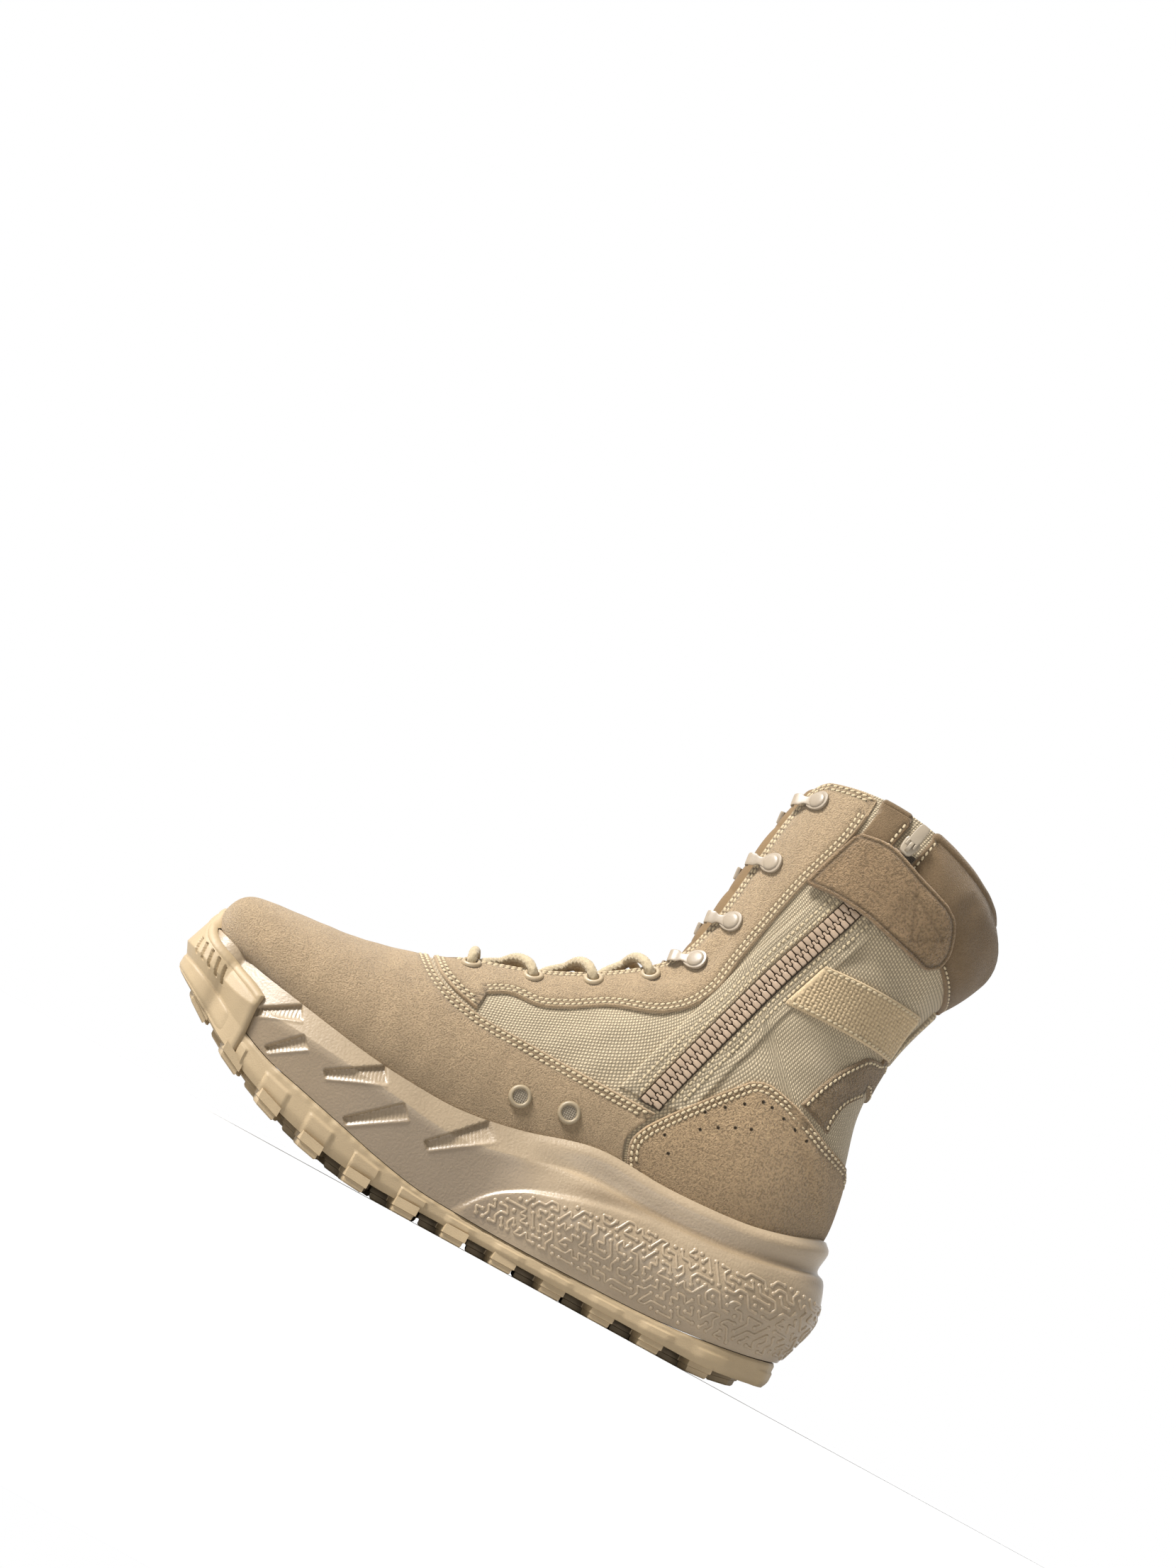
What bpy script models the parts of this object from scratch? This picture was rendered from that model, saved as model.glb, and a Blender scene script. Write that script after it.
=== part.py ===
"""Tactical boot for the right foot: a suede and woven nylon upper with a side zip on a rocker sole.

Frame: toe towards -X, inner (medial) side towards -Y, +Z up, floor at Z = 0, origin under the box's middle.
Tables and sizes are in millimetres, meshes in metres.

The upper is one form, worked out from a table of sections that fan from the toe, over the instep, up to the
collar. A point of the form has a row u (its place in the table) and a share v round the section: -1 on the
medial edge, 0 on the ridge or front, 1 on the lateral edge. Above the heel both edges meet in the back's
centre line.
"""

import math
from collections import namedtuple

import bmesh
import bpy
import numpy as np
from mathutils import Matrix, Vector

MM = 0.001
MEDIAL, LATERAL = -1, 1

# Driving sizes
GAP = 0.3
WALL = 2.2
OVERLAY = 1.4
STRAP_LIFT = 2.7
SOLE_TRIM, TOE_TRIM = 0.025, 0.2
TONGUE, TONGUE_CLEARANCE = 3.0, 0.5
INSOLE = 5.0
LUG_DEPTH = 5.0
LACE_RADIUS = 1.5
SWELL_ROUNDNESS = 0.9
LEAST_NORMAL_Z = -0.2
SIDE_COLUMNS, THROAT_COLUMNS, RIDGE_COLUMNS = 9, 2, 4
SOLE_STATIONS = 30
HALF_SPAN = 90.0

# Sections of the upper: base on the feather edge or the back, top on the ridge or the shaft's front.
Section = namedtuple("Section", "name base_x base_z medial lateral top_x top_z ridge_y fullness swell crown")
SECTIONS = [
    Section("toe_rim", -130, 61.6, 30, 27, -149, 68.5, -6, 2.3, 0, 0),
    Section("toe_front", -125, 60, 33, 30, -150, 79, -6, 2.3, 3, 0),
    Section("toe_cap", -117, 58.2, 37, 34, -143, 87.5, -6, 2.3, 5, 0),
    Section("toe_box", -103, 55.7, 41.5, 39, -121, 91, -5, 2.25, 8, 0),
    Section("toe_back", -84, 52.5, 44, 43, -97, 94, -4, 2.15, 10, 0),
    Section("vamp", -64, 49.6, 44.5, 46, -71, 101, -3, 2.0, 12, 0),
    Section("throat", -45, 48.2, 43, 47, -48, 111.5, -2, 1.85, 14, 0),
    Section("instep_low", -22, 48.3, 39.5, 46, -22, 122, -1, 1.7, 17, 0),
    Section("instep", 4, 53, 36, 43.5, 0, 134, 0, 1.6, 20, 0),
    Section("waist", 36, 61.8, 34, 39.5, 16, 145, 0, 1.5, 24, 0),
    Section("ankle_front", 70, 61.4, 33.5, 36, 25.5, 155, 0, 1.4, 27, 0),
    Section("heel_side", 102, 63.7, 32.5, 33, 29, 164, 0, 1.25, 31, 0),
    Section("heel_turn", 122, 68.5, 27, 27, 31, 172.5, 0, 1.14, 34, 0),
    Section("heel_bend", 136, 74.5, 15, 15, 32.3, 181, 0, 1.06, 36, 0),
    Section("heel_back", 141, 78, 0, 0, 33.3, 190, 0, 1.0, 37, 0),
    Section("counter", 138.3, 100, 0, 0, 34.6, 200, 0, 1.0, 37, 0),
    Section("ankle", 131, 131, 0, 0, 36, 211, 0, 1.0, 37, 0),
    Section("achilles", 131.5, 160, 0, 0, 37.5, 222, 0, 1.0, 38, 0),
    Section("cuff_low", 139.5, 187, 0, 0, 39.5, 233, 0, 1.0, 40, 2),
    Section("cuff", 149.5, 215, 0, 0, 42, 243.5, 0, 1.0, 42.5, 5),
    Section("collar", 143, 236, 0, 0, 44.5, 252, 0, 1.0, 41, 7),
]
ROW = {section.name: i for i, section in enumerate(SECTIONS)}
LAST_ROW = len(SECTIONS) - 1
U_LINES = np.concatenate([np.arange(0, 3, 0.5), np.arange(3, 6), [5.5], np.arange(6, LAST_ROW + 1)])
THROAT_START = 5.5
THROAT_ROWS, THROAT_HALF_GAPS = (5, 6, 10, LAST_ROW), (9, 12, 14, 16)

# Lacing: rows of the eyelets and hooks, and how far they sit from the throat's edge
EYELET_ROWS = (6.0, 7.0, 8.05, 9.3)
HOOK_ROWS = (11.1, 13.7, 16.4, 18.9)
EYELET_INSET, HOOK_INSET = 7.5, 11.0
EYELET_HOLE_RADIUS = 2.5
HOOK_CLEARANCE, HOOK_TOWARDS = 0.9, (-1, 0, -0.1)
RIVET_RADIUS, RIVET_LENGTH = 1.3, 3.6
LACING_CUT_DEPTH = 12.0
LACE_ROW_STEP, LACE_START_SHARE = 0.12, 0.8
LACE_BAR_LIFTS, LACE_BAR_EDGE = (2.4, 5.0), 0.55
LACE_SHARES, LACE_LIFTS = (0, 0.3, 0.6, 0.8, 1), (-0.3, 1.0, 4.2, 5.0, 5.0)

# Outlines seen from the side, as (x, z)
VAMP = [(-180, 35), (-180, 120), (-67, 105.5), (-57, 96), (-36, 88.8), (52, 88.3), (44.8, 73.5), (52, 57),
        (52, 35)]
COUNTER = [(54, 50), (54, 58), (46.5, 73.5), (54, 88), (76.5, 115), (86.5, 122), (102, 119), (120, 112),
           (134, 108.6), (160, 105), (160, 50)]
HEEL_TAB = [(102.5, 120.8), (106.5, 132.5), (115, 147.5), (121, 155), (160, 157), (160, 138.5), (126, 138.7),
            (120, 130), (118.4, 115.4)]
EYESTAY = [(-66, 107), (-56, 97.5), (-36, 90), (-36, 98), (-28.6, 102.5), (-13.4, 104.4), (12.3, 119),
           (34.3, 127.5), (48.8, 144.3), (52, 163), (60.6, 204), (70.5, 238), (71.5, 246), (66, 270),
           (20, 270), (-80, 160)]
CUFF = [(66.5, 221), (72.2, 239), (73.2, 246.5), (69, 270), (180, 275), (180, 188), (141, 190.5), (122, 205)]
STRAP = [(61.5, 205.5), (70, 233), (82, 236), (104, 228.7), (120, 224.5), (128, 209), (122, 197), (87, 204)]
WEBBING = [(76.2, 155), (84.2, 177.5), (150, 182.5), (150, 158)]
BACK_STAY_SPAN, BACK_STAY_HALF_WIDTH, BACK_STAY_GAP = (158.5, 187.5), 11.0, 0.6

# Side zip: where its line runs at each height, and the width of its chain
ZIP_HEIGHTS, ZIP_LINE = (91, 126.6, 167, 203, 256), (46.4, 57, 69.6, 82.4, 95.5)
ZIP_HALF_WIDTH, ZIP_THICKNESS, ZIP_SLOT_HALF_WIDTH = 4.2, 1.7, 5.6
ZIP_TOP, ZIP_STEPS = 245.0, 9
CUFF_SPLIT_LOW, CUFF_SPLIT_HIGH = 150.0, 280.0
SLIDER_HEIGHT = 238.0
SLIDER_SIZE, BRIDGE_SIZE, BRIDGE_ROOT = Vector((8.0, 7.6, 2.4)), Vector((3.2, 1.8, 1.9)), 0.4
PULL_LENGTH, PULL_WIDTH, PULL_THICKNESS, PULL_FORK = 12.0, 5.2, 1.3, 4.2
PIVOT_HEIGHT = 1.1
VENTS = [(-2.8, 66.8), (18.5, 70.8)]

# Sole: heights along x of the floor curve, the seam of midsole and outsole, and the bed under the insole
FLAT_FROM, FLAT_TO = -30.0, 105.0
TOE_ROCKER_RADIUS, HEEL_BEVEL_RADIUS = 190.0, 117.0
SEAM_X = (-160, -145, -130, -115, -101, -81, -62, -43, -23, 2, 55, 97, 117, 134, 148, 158)
SEAM_Z = (60, 52, 44.5, 36.5, 30.5, 25.5, 21, 16.5, 13, 11.8, 11.8, 13.5, 16, 20, 26, 31)
BED_X = (-150, -131, -105, -60, -20, 30, 80, 125, 141)
BED_Z = (60.5, 53.5, 48, 42, 40.5, 44.5, 48.5, 51.5, 53)
RIM_DROP = 0.9
HEEL_BLEND = (0.0, 45.0)
BACK_FLARE, BACK_FLARE_SPAN = 0.28, (118.0, 140.0)

# Midsole side: share of the height from seam to rim, and how far it stands out from the feather edge
Level = namedtuple("Level", "name share_fore out_fore share_heel out_heel")
MIDSOLE_SIDE = [
    Level("sole_edge", 0.00, 5.2, 0.00, 7.5),
    Level("flank", 0.28, 6.4, 0.20, 10.6),
    Level("ridge", 0.52, 6.6, 0.42, 12.6),
    Level("pod_top", 0.70, 5.4, 0.70, 9.2),
    Level("groove", 0.78, 4.7, 0.77, 5.4),
    Level("lip", 0.93, 4.1, 0.93, 5.9),
    Level("rim", 1.00, 3.2, 1.00, 3.6),
]
RIM_INNER, BED_EDGE, INSOLE_EDGE = -2.9, -3.2, -3.6

# Slanted notches in the forefoot's side: lower and upper end as (x, z), and the width along x
Notch = namedtuple("Notch", "low_x low_z high_x high_z width")
NOTCHES = [
    Notch(-112, 44, -98.5, 53.5, 9),
    Notch(-101, 33, -90.5, 43.5, 8),
    Notch(-75, 35.5, -57, 47.5, 10),
    Notch(-59, 23, -43, 38, 9),
    Notch(-25.5, 30.5, -8.5, 48, 11),
]
NOTCH_DEPTH = 2.6

# Outsole side: how far it stands out from the midsole's edge, with more at the toe
OUTSOLE_OUT, OUTSOLE_TOE_OUT, OUTSOLE_TOE_SPAN = 0.6, 2.6, (-124.0, -112.0)
OUTSOLE_UNDERCUT, OUTSOLE_EDGE_SHARE = 1.6, 0.35

# Toe bumper: height of its edge by distance round the toe from the centre
BUMPER_REACH, BUMPER_TOP = (0, 10, 22, 38, 54, 58), (80, 78, 67, 59.5, 54, 52)
BUMPER_THICKNESS, BUMPER_CLEARANCE, BUMPER_LEAST_OUT = 2.6, 0.7, 3.9
BUMPER_LEVELS, BUMPER_ROOT, BUMPER_LAST_STEP = 6, 2.5, 3.0

# Tread: rows of lugs along the sole
TREAD_FROM, TREAD_TO, TREAD_PITCH = -137.0, 144.0, 23.0
LUG_LENGTH, LUG_WIDTH, LUG_KINK, LUG_ROOT = 17.0, 9.0, 3.2, 1.6
LEAST_TREAD_EDGE, LUG_PROUD = 18.0, 1.2
LUG_LENGTH_SHARE, LUG_INNER_SHARE = 0.42, 0.30


# Curves and tables

def smooth(knots, values, at):
    """Cubic curve through a table's values, with the slopes of the neighbouring chords."""
    knots, values, at = (np.asarray(a, float) for a in (knots, values, at))
    slopes = np.gradient(values, knots)
    i = np.clip(np.searchsorted(knots, at, side="right") - 1, 0, len(knots) - 2)
    step = knots[i + 1] - knots[i]
    t = np.clip((at - knots[i]) / step, 0, 1)
    start = values[i] * (1 + 2 * t) * (1 - t) ** 2 + values[i + 1] * t * t * (3 - 2 * t)
    return start + step * (slopes[i] * t * (1 - t) ** 2 - slopes[i + 1] * t * t * (1 - t))


def smoothstep(low, high, at):
    t = np.clip((np.asarray(at, float) - low) / (high - low), 0, 1)
    return t * t * (3 - 2 * t)


def resample(line, count):
    """The same line with its points evenly spaced."""
    length = np.concatenate([[0], np.cumsum(np.linalg.norm(np.diff(line, axis=0), axis=1))])
    even = np.linspace(0, length[-1], count)
    return np.stack([np.interp(even, length, line[:, axis]) for axis in range(3)], axis=1)


def rounded(outline, radius):
    """The outline with each corner cut by a short arc."""
    points = []
    for before, corner, after in zip(outline[-1:] + outline[:-1], outline, outline[1:] + outline[:1]):
        here = Vector(corner)
        back, ahead = Vector(before) - here, Vector(after) - here
        cut = min(radius, 0.4 * back.length, 0.4 * ahead.length)
        start, end = here + back.normalized() * cut, here + ahead.normalized() * cut
        for t in (0, 0.5, 1):
            points.append((1 - t) ** 2 * start + 2 * t * (1 - t) * here + t * t * end)
    return [tuple(p) for p in points]


# The upper's form

COLUMNS = {name: [getattr(section, name) for section in SECTIONS] for name in Section._fields[1:]}


def form(u, v):
    """Point of the upper's outer face at row u and share v."""
    u, v = np.broadcast_arrays(np.asarray(u, float), np.asarray(v, float))
    at = {name: smooth(np.arange(len(column)), column, u) for name, column in COLUMNS.items()}
    foot = u < ROW["heel_back"]
    tau = np.maximum(1 - np.abs(v), 0) * math.pi / 2
    rise = np.sin(tau) ** (2 / at["fullness"])
    spread = np.cos(tau) ** (2 / at["fullness"]) * foot
    swell = at["swell"] * np.maximum(np.sin(2 * tau), 0) ** SWELL_ROUNDNESS
    half = np.hypot(np.where(v < 0, at["medial"], at["lateral"]) * spread, swell)
    x = at["base_x"] + (at["top_x"] - at["base_x"]) * rise
    y = np.sign(v) * half + at["ridge_y"] * rise
    z = at["base_z"] + (at["top_z"] - at["base_z"]) * rise + 4 * at["crown"] * rise * (1 - rise)
    return np.stack([x, y, z], axis=-1)


def form_normal(u, v):
    """Outward direction of the form, never far below level, so that layers over it stay clear of the sole.

    The toe's rim, where rows run together, takes that of the row above.
    """
    u, v = np.broadcast_arrays(np.maximum(u, 0.5), np.asarray(v, float))
    step = 1e-3
    along = form(np.minimum(u + step, LAST_ROW), v) - form(np.maximum(u - step, 0), v)
    around = form(u, np.minimum(v + step, 1)) - form(u, np.maximum(v - step, -1))
    normal = np.cross(along, around)
    seam = (np.abs(v) > 1 - 1e-9) & (u >= ROW["heel_back"])
    normal[..., 1] = np.where(seam, 0, normal[..., 1])
    normal /= np.linalg.norm(normal, axis=-1, keepdims=True)
    normal[..., 2] = np.maximum(normal[..., 2], LEAST_NORMAL_Z)
    return normal / np.linalg.norm(normal, axis=-1, keepdims=True)


def throat_v(u):
    """Share v of the throat's edge: where the form is half the throat's gap from its ridge."""
    gap = smooth(THROAT_ROWS, THROAT_HALF_GAPS, u)
    low, high = np.zeros_like(gap), np.full_like(gap, 0.6)
    for _ in range(30):
        middle = (low + high) / 2
        wide = form(u, middle)[..., 1] - form(u, 0)[..., 1] > gap
        low, high = np.where(wide, low, middle), np.where(wide, middle, high)
    return middle


def column_v(u, w):
    """Share v of grid column w, with two columns on each side kept for the throat."""
    edge, at_edge = throat_v(u), THROAT_COLUMNS / SIDE_COLUMNS
    size = np.abs(w)
    outside = edge + (size - at_edge) * (1 - edge) / (1 - at_edge)
    return np.sign(w) * np.where(size <= at_edge, size * edge / at_edge, outside)


def inset_v(u, inset):
    """Share v of the point that lies this far outside the throat's edge, along the section."""
    shares = np.linspace(throat_v(np.float64(u)), 1, 200)
    steps = np.linalg.norm(np.diff(form(u, shares), axis=0), axis=1)
    return float(np.interp(inset, np.concatenate([[0], np.cumsum(steps)]), shares))


def locate(x, z, side):
    """Row and share of the form's point that shows at (x, z) from one side."""
    u_low, u_high, v_low, v_high = 0.0, float(LAST_ROW), 0.02, 0.98
    for _ in range(7):
        u, v = np.meshgrid(np.linspace(u_low, u_high, 33), np.linspace(v_low, v_high, 33), indexing="ij")
        points = form(u, side * v)
        best = np.argmin((points[..., 0] - x) ** 2 + (points[..., 2] - z) ** 2)
        u_best, v_best = u.flat[best], v.flat[best]
        u_reach, v_reach = (u_high - u_low) / 8, (v_high - v_low) / 8
        u_low, u_high = max(u_best - u_reach, 0), min(u_best + u_reach, LAST_ROW)
        v_low, v_high = max(v_best - v_reach, 0.01), min(v_best + v_reach, 0.99)
    return float(u_best), side * float(v_best)


# Blender objects

def collection(name):
    made = bpy.data.collections.new(name)
    bpy.context.scene.collection.children.link(made)
    return made


def material(name, color, roughness, metallic=0.0):
    made = bpy.data.materials.new(name)
    made.use_nodes = True
    shader = made.node_tree.nodes["Principled BSDF"]
    shader.inputs["Base Color"].default_value = (*color, 1)
    shader.inputs["Roughness"].default_value = roughness
    shader.inputs["Metallic"].default_value = metallic
    return made


def add_object(name, mesh, finish=None):
    """A part when it has a finish, and a cutter when it has none."""
    obj = bpy.data.objects.new(name, mesh)
    if finish is None:
        CUTTERS.objects.link(obj)
        obj.hide_render = True
        obj.display_type = "WIRE"
    else:
        PARTS.objects.link(obj)
        obj.parent = BOOT
        mesh.materials.append(finish)
    return obj


def mesh_from(name, points, faces):
    """Mesh of points in millimetres, welded where they meet, with its faces turned the same way."""
    bm = bmesh.new()
    verts = [bm.verts.new(Vector(p) * MM) for p in points]
    for face in faces:
        bm.faces.new([verts[i] for i in face])
    bmesh.ops.delete(bm, geom=[v for v in verts if not v.link_faces], context="VERTS")
    bmesh.ops.remove_doubles(bm, verts=bm.verts, dist=1e-6)
    bmesh.ops.dissolve_degenerate(bm, edges=bm.edges, dist=1e-6)
    bmesh.ops.recalc_face_normals(bm, faces=bm.faces)
    bmesh.ops.triangulate(bm, faces=bm.faces)
    mesh = bpy.data.meshes.new(name)
    bm.to_mesh(mesh)
    bm.free()
    return mesh


def boolean(obj, operation, *others):
    for other in others:
        cut = obj.modifiers.new(other.name, "BOOLEAN")
        cut.operation = operation
        cut.solver = "MANIFOLD"
        cut.object = other
    return obj


def mesh_of(obj):
    """The object as one welded mesh, with its modifiers or bevel applied, in place of the object."""
    bpy.context.view_layer.update()
    graph = bpy.context.evaluated_depsgraph_get()
    mesh = bpy.data.meshes.new_from_object(obj.evaluated_get(graph))
    bm = bmesh.new()
    bm.from_mesh(mesh)
    bm.transform(obj.matrix_world)
    bmesh.ops.remove_doubles(bm, verts=bm.verts, dist=1e-6)
    bmesh.ops.recalc_face_normals(bm, faces=bm.faces)
    bm.to_mesh(mesh)
    bm.free()
    bpy.data.objects.remove(obj)
    return mesh


def prism(name, outline, y_from, y_to):
    """Cutter of a side outline, between two places across the boot."""
    curve = bpy.data.curves.new(name, "CURVE")
    curve.dimensions = "2D"
    curve.fill_mode = "BOTH"
    curve.extrude = (y_to - y_from) / 2 * MM
    spline = curve.splines.new("POLY")
    spline.points.add(len(outline) - 1)
    spline.use_cyclic_u = True
    for point, (x, z) in zip(spline.points, outline):
        point.co = (x * MM, z * MM, 0, 1)
    obj = bpy.data.objects.new(name, curve)
    CUTTERS.objects.link(obj)
    obj.rotation_euler.x = math.pi / 2
    obj.location.y = (y_from + y_to) / 2 * MM
    return add_object(name, mesh_of(obj))


def box_cutter(name, low, high):
    mesh = bpy.data.meshes.new(name)
    bm = bmesh.new()
    bmesh.ops.create_cube(bm, size=1)
    bmesh.ops.scale(bm, vec=(Vector(high) - Vector(low)) * MM, verts=bm.verts)
    bmesh.ops.translate(bm, vec=(Vector(high) + Vector(low)) / 2 * MM, verts=bm.verts)
    bm.to_mesh(mesh)
    bm.free()
    return add_object(name, mesh)


def turned(name, profile, steps, finish):
    """Solid turned about Z, from a profile of (radius, height) that runs down its outer side."""
    mesh = bpy.data.meshes.new(name)
    edges = [(i, i + 1) for i in range(len(profile) - 1)]
    mesh.from_pydata([(r * MM, 0, h * MM) for r, h in profile], edges, [])
    obj = add_object(name, mesh, finish)
    screw = obj.modifiers.new("Turn", "SCREW")
    screw.steps = screw.render_steps = steps
    screw.use_merge_vertices = True
    screw.merge_threshold = 1e-6
    return obj


def surface_frame(u, v, offset, towards):
    """Placement on the form: Z outwards, and X along the given direction laid into the surface."""
    normal = Vector(form_normal(u, v))
    ahead = Vector(towards)
    ahead = (ahead - ahead.dot(normal) * normal).normalized()
    place = (Vector(form(u, v)) + normal * offset) * MM
    turn = Matrix((ahead, normal.cross(ahead), normal)).transposed()
    return Matrix.Translation(place) @ turn.to_4x4()


# Upper, tongue and overlays

def grid(u_lines, w_lines, offset):
    """Points of the form's grid, lifted off it. Lifted layers end a little above the sole."""
    u, w = np.meshgrid(u_lines, w_lines, indexing="ij")
    v = column_v(u, w)
    if offset > 0:
        end = np.where(u < ROW["heel_back"], 1 - SOLE_TRIM, 1)
        u, v = np.maximum(u, TOE_TRIM), np.clip(v, -end, end)
    return form(u, v) + offset * form_normal(u, v)


def layer(name, u_lines, w_lines, low, high, finish, keep=lambda u, w: True):
    """Solid layer of the form's kept cells, between two heights over its surface."""
    under, over = grid(u_lines, w_lines, low), grid(u_lines, w_lines, high)
    rows, columns = under.shape[:2]
    rounded_points = under.reshape(-1, 3).round(4)
    _, first, joined = np.unique(rounded_points, axis=0, return_index=True, return_inverse=True)
    joined = joined.reshape(rows, columns)
    cells = []
    for i in range(rows - 1):
        for j in range(columns - 1):
            if keep((u_lines[i] + u_lines[i + 1]) / 2, (w_lines[j] + w_lines[j + 1]) / 2):
                cells.append((joined[i, j], joined[i + 1, j], joined[i + 1, j + 1], joined[i, j + 1]))
    edges = {(a, b) for cell in cells for a, b in zip(cell, cell[1:] + cell[:1])}
    count = len(first)
    walls = [(a, b, b + count, a + count) for a, b in edges if (b, a) not in edges]
    lids = [tuple(i + count for i in cell) for cell in cells]
    points = np.vstack([under.reshape(-1, 3)[first], over.reshape(-1, 3)[first]])
    return add_object(name, mesh_from(name, points, cells + lids + walls), finish)


W_LINES = np.linspace(-1, 1, 2 * SIDE_COLUMNS + 1)


def rows_between(first, last):
    return U_LINES[(U_LINES >= first) & (U_LINES <= last)]


def columns_between(first, last):
    reach = np.array([first, last]) / SIDE_COLUMNS
    return W_LINES[(W_LINES >= reach[0] - 1e-6) & (W_LINES <= reach[1] + 1e-6)]


def side_columns(side):
    span = (THROAT_COLUMNS, SIDE_COLUMNS) if side == LATERAL else (-SIDE_COLUMNS, -THROAT_COLUMNS)
    return columns_between(*span)


def outside_throat(u, w):
    return u < THROAT_START or abs(w) > THROAT_COLUMNS / SIDE_COLUMNS


def away_from_ridge(u, w):
    return abs(w) > RIDGE_COLUMNS / SIDE_COLUMNS


def overlay(name, outline, u_lines, w_lines, finish, keep=outside_throat, lift=GAP, radius=3.0):
    """A layer on the upper, cut to a side outline between two larger forms."""
    piece = layer(name, u_lines, w_lines, lift, lift + OVERLAY, finish, keep)
    cutter = prism(name + "_outline", rounded(outline, radius), -HALF_SPAN, HALF_SPAN)
    return boolean(piece, "INTERSECT", cutter)


def make_upper():
    upper = layer("upper", U_LINES, W_LINES, -WALL, 0, NYLON, outside_throat)
    boolean(upper, "DIFFERENCE", LACING_CUTTER)


def make_tongue():
    top = -WALL - TONGUE_CLEARANCE
    columns = columns_between(-RIDGE_COLUMNS, RIDGE_COLUMNS)
    layer("tongue", rows_between(5, LAST_ROW), columns, top - TONGUE, top, LINING)


def make_overlays():
    everywhere = columns_between(-SIDE_COLUMNS, SIDE_COLUMNS)
    overlay("vamp", VAMP, rows_between(0, 11), everywhere, SUEDE)
    overlay("heel_counter", COUNTER, rows_between(9, 17), everywhere, SUEDE, away_from_ridge)
    overlay("heel_tab", HEEL_TAB, rows_between(12, 18), everywhere, SUEDE, away_from_ridge)
    low, high = BACK_STAY_SPAN
    half = BACK_STAY_HALF_WIDTH
    stay = layer("back_stay", rows_between(15, 19.5), everywhere, GAP, GAP + OVERLAY, NYLON, away_from_ridge)
    boolean(stay, "INTERSECT", box_cutter("back_stay_outline", (90, -half, low), (200, half, high)))
    slot = zip_outline(ZIP_SLOT_HALF_WIDTH, CUFF_SPLIT_LOW, CUFF_SPLIT_HIGH)
    front_edge, rear_edge = slot[:ZIP_STEPS], slot[ZIP_STEPS:]
    ahead_of_zip = [(0, CUFF_SPLIT_LOW)] + rear_edge[::-1] + [(0, CUFF_SPLIT_HIGH)]
    behind_zip = front_edge + [(220, CUFF_SPLIT_HIGH), (220, CUFF_SPLIT_LOW)]
    cuff = overlay("cuff", CUFF, rows_between(15, LAST_ROW), everywhere, SUEDE)
    boolean(cuff, "DIFFERENCE", prism("cuff_medial_end", ahead_of_zip, -HALF_SPAN, 0))
    front = overlay("collar_front", CUFF, rows_between(15, LAST_ROW), side_columns(MEDIAL), SUEDE)
    boolean(front, "DIFFERENCE", prism("collar_front_end", behind_zip, -HALF_SPAN, HALF_SPAN))
    reach = half + BACK_STAY_GAP
    beside_stay = box_cutter("webbing_end", (90, -reach, 120), (200, reach, 220))
    for side, word in ((MEDIAL, "medial"), (LATERAL, "lateral")):
        stay = overlay("eyestay_" + word, EYESTAY, rows_between(5, LAST_ROW), side_columns(side), SUEDE)
        boolean(stay, "DIFFERENCE", LACING_CUTTER)
        band = overlay("webbing_" + word, WEBBING, rows_between(12, 19), side_columns(side), WEB, radius=1.0)
        boolean(band, "DIFFERENCE", beside_stay)


# Lacing

def lacing_place(row, inset, side, offset):
    v = side * inset_v(row, inset)
    to_ridge = form(row, v * 0.9) - form(row, v)
    return surface_frame(row, v, offset, to_ridge)


def lacing_cutter():
    """All holes for eyelets and rivets as one cutter."""
    bm = bmesh.new()
    holes = [(row, EYELET_INSET, EYELET_HOLE_RADIUS) for row in EYELET_ROWS]
    holes += [(row, HOOK_INSET, RIVET_RADIUS + GAP) for row in HOOK_ROWS]
    for row, inset, radius in holes:
        for side in (MEDIAL, LATERAL):
            place = lacing_place(row, inset, side, 0)
            bmesh.ops.create_cone(bm, cap_ends=True, segments=10, radius1=radius * MM, radius2=radius * MM,
                                  depth=LACING_CUT_DEPTH * MM, matrix=place)
    mesh = bpy.data.meshes.new("lacing_holes")
    bm.to_mesh(mesh)
    bm.free()
    return add_object("lacing_holes", mesh)


def make_eyelets():
    lift = GAP + OVERLAY + GAP
    ring = [(2.6, 0.0), (2.6, 0.8), (3.5, 1.0), (4.4, 0.0), (2.6, 0.0)]
    for side, word in ((MEDIAL, "medial"), (LATERAL, "lateral")):
        for number, row in enumerate(EYELET_ROWS, 1):
            eyelet = turned(f"eyelet_{word}_{number}", ring, 10, METAL)
            eyelet.matrix_basis = lacing_place(row, EYELET_INSET, side, lift)


def hook_mesh(name):
    """Speed hook: a round base on a rivet, and an arm that curls back over itself to hold the lace."""
    curl = [(1, 0), (10.6, 0), (12.3, 1.2), (11.6, 3.2), (6.6, 3.8), (6.4, 3.0), (10.8, 2.5), (11.2, 1.5),
            (10.3, 0.8), (1, 0.8)]
    arm = prism(name + "_arm", curl, -3.2, 3.2)
    profile = [(0, 1.9), (2.6, 1.6), (4.2, 0.9), (4.9, 0), (RIVET_RADIUS, 0), (RIVET_RADIUS, -RIVET_LENGTH),
               (0, -RIVET_LENGTH)]
    base = turned(name + "_base", profile, 10, METAL)
    boolean(base, "UNION", arm)
    mesh = mesh_of(base)
    mesh.name = name
    return mesh


def make_hooks():
    mesh = hook_mesh("hook")
    lift = GAP + OVERLAY + HOOK_CLEARANCE
    for side, word in ((MEDIAL, "medial"), (LATERAL, "lateral")):
        for number, row in enumerate(HOOK_ROWS, 1):
            hook = bpy.data.objects.new(f"hook_{word}_{number}", mesh)
            PARTS.objects.link(hook)
            hook.parent = BOOT
            hook.matrix_basis = surface_frame(row, side * inset_v(row, HOOK_INSET), lift, HOOK_TOWARDS)


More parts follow.
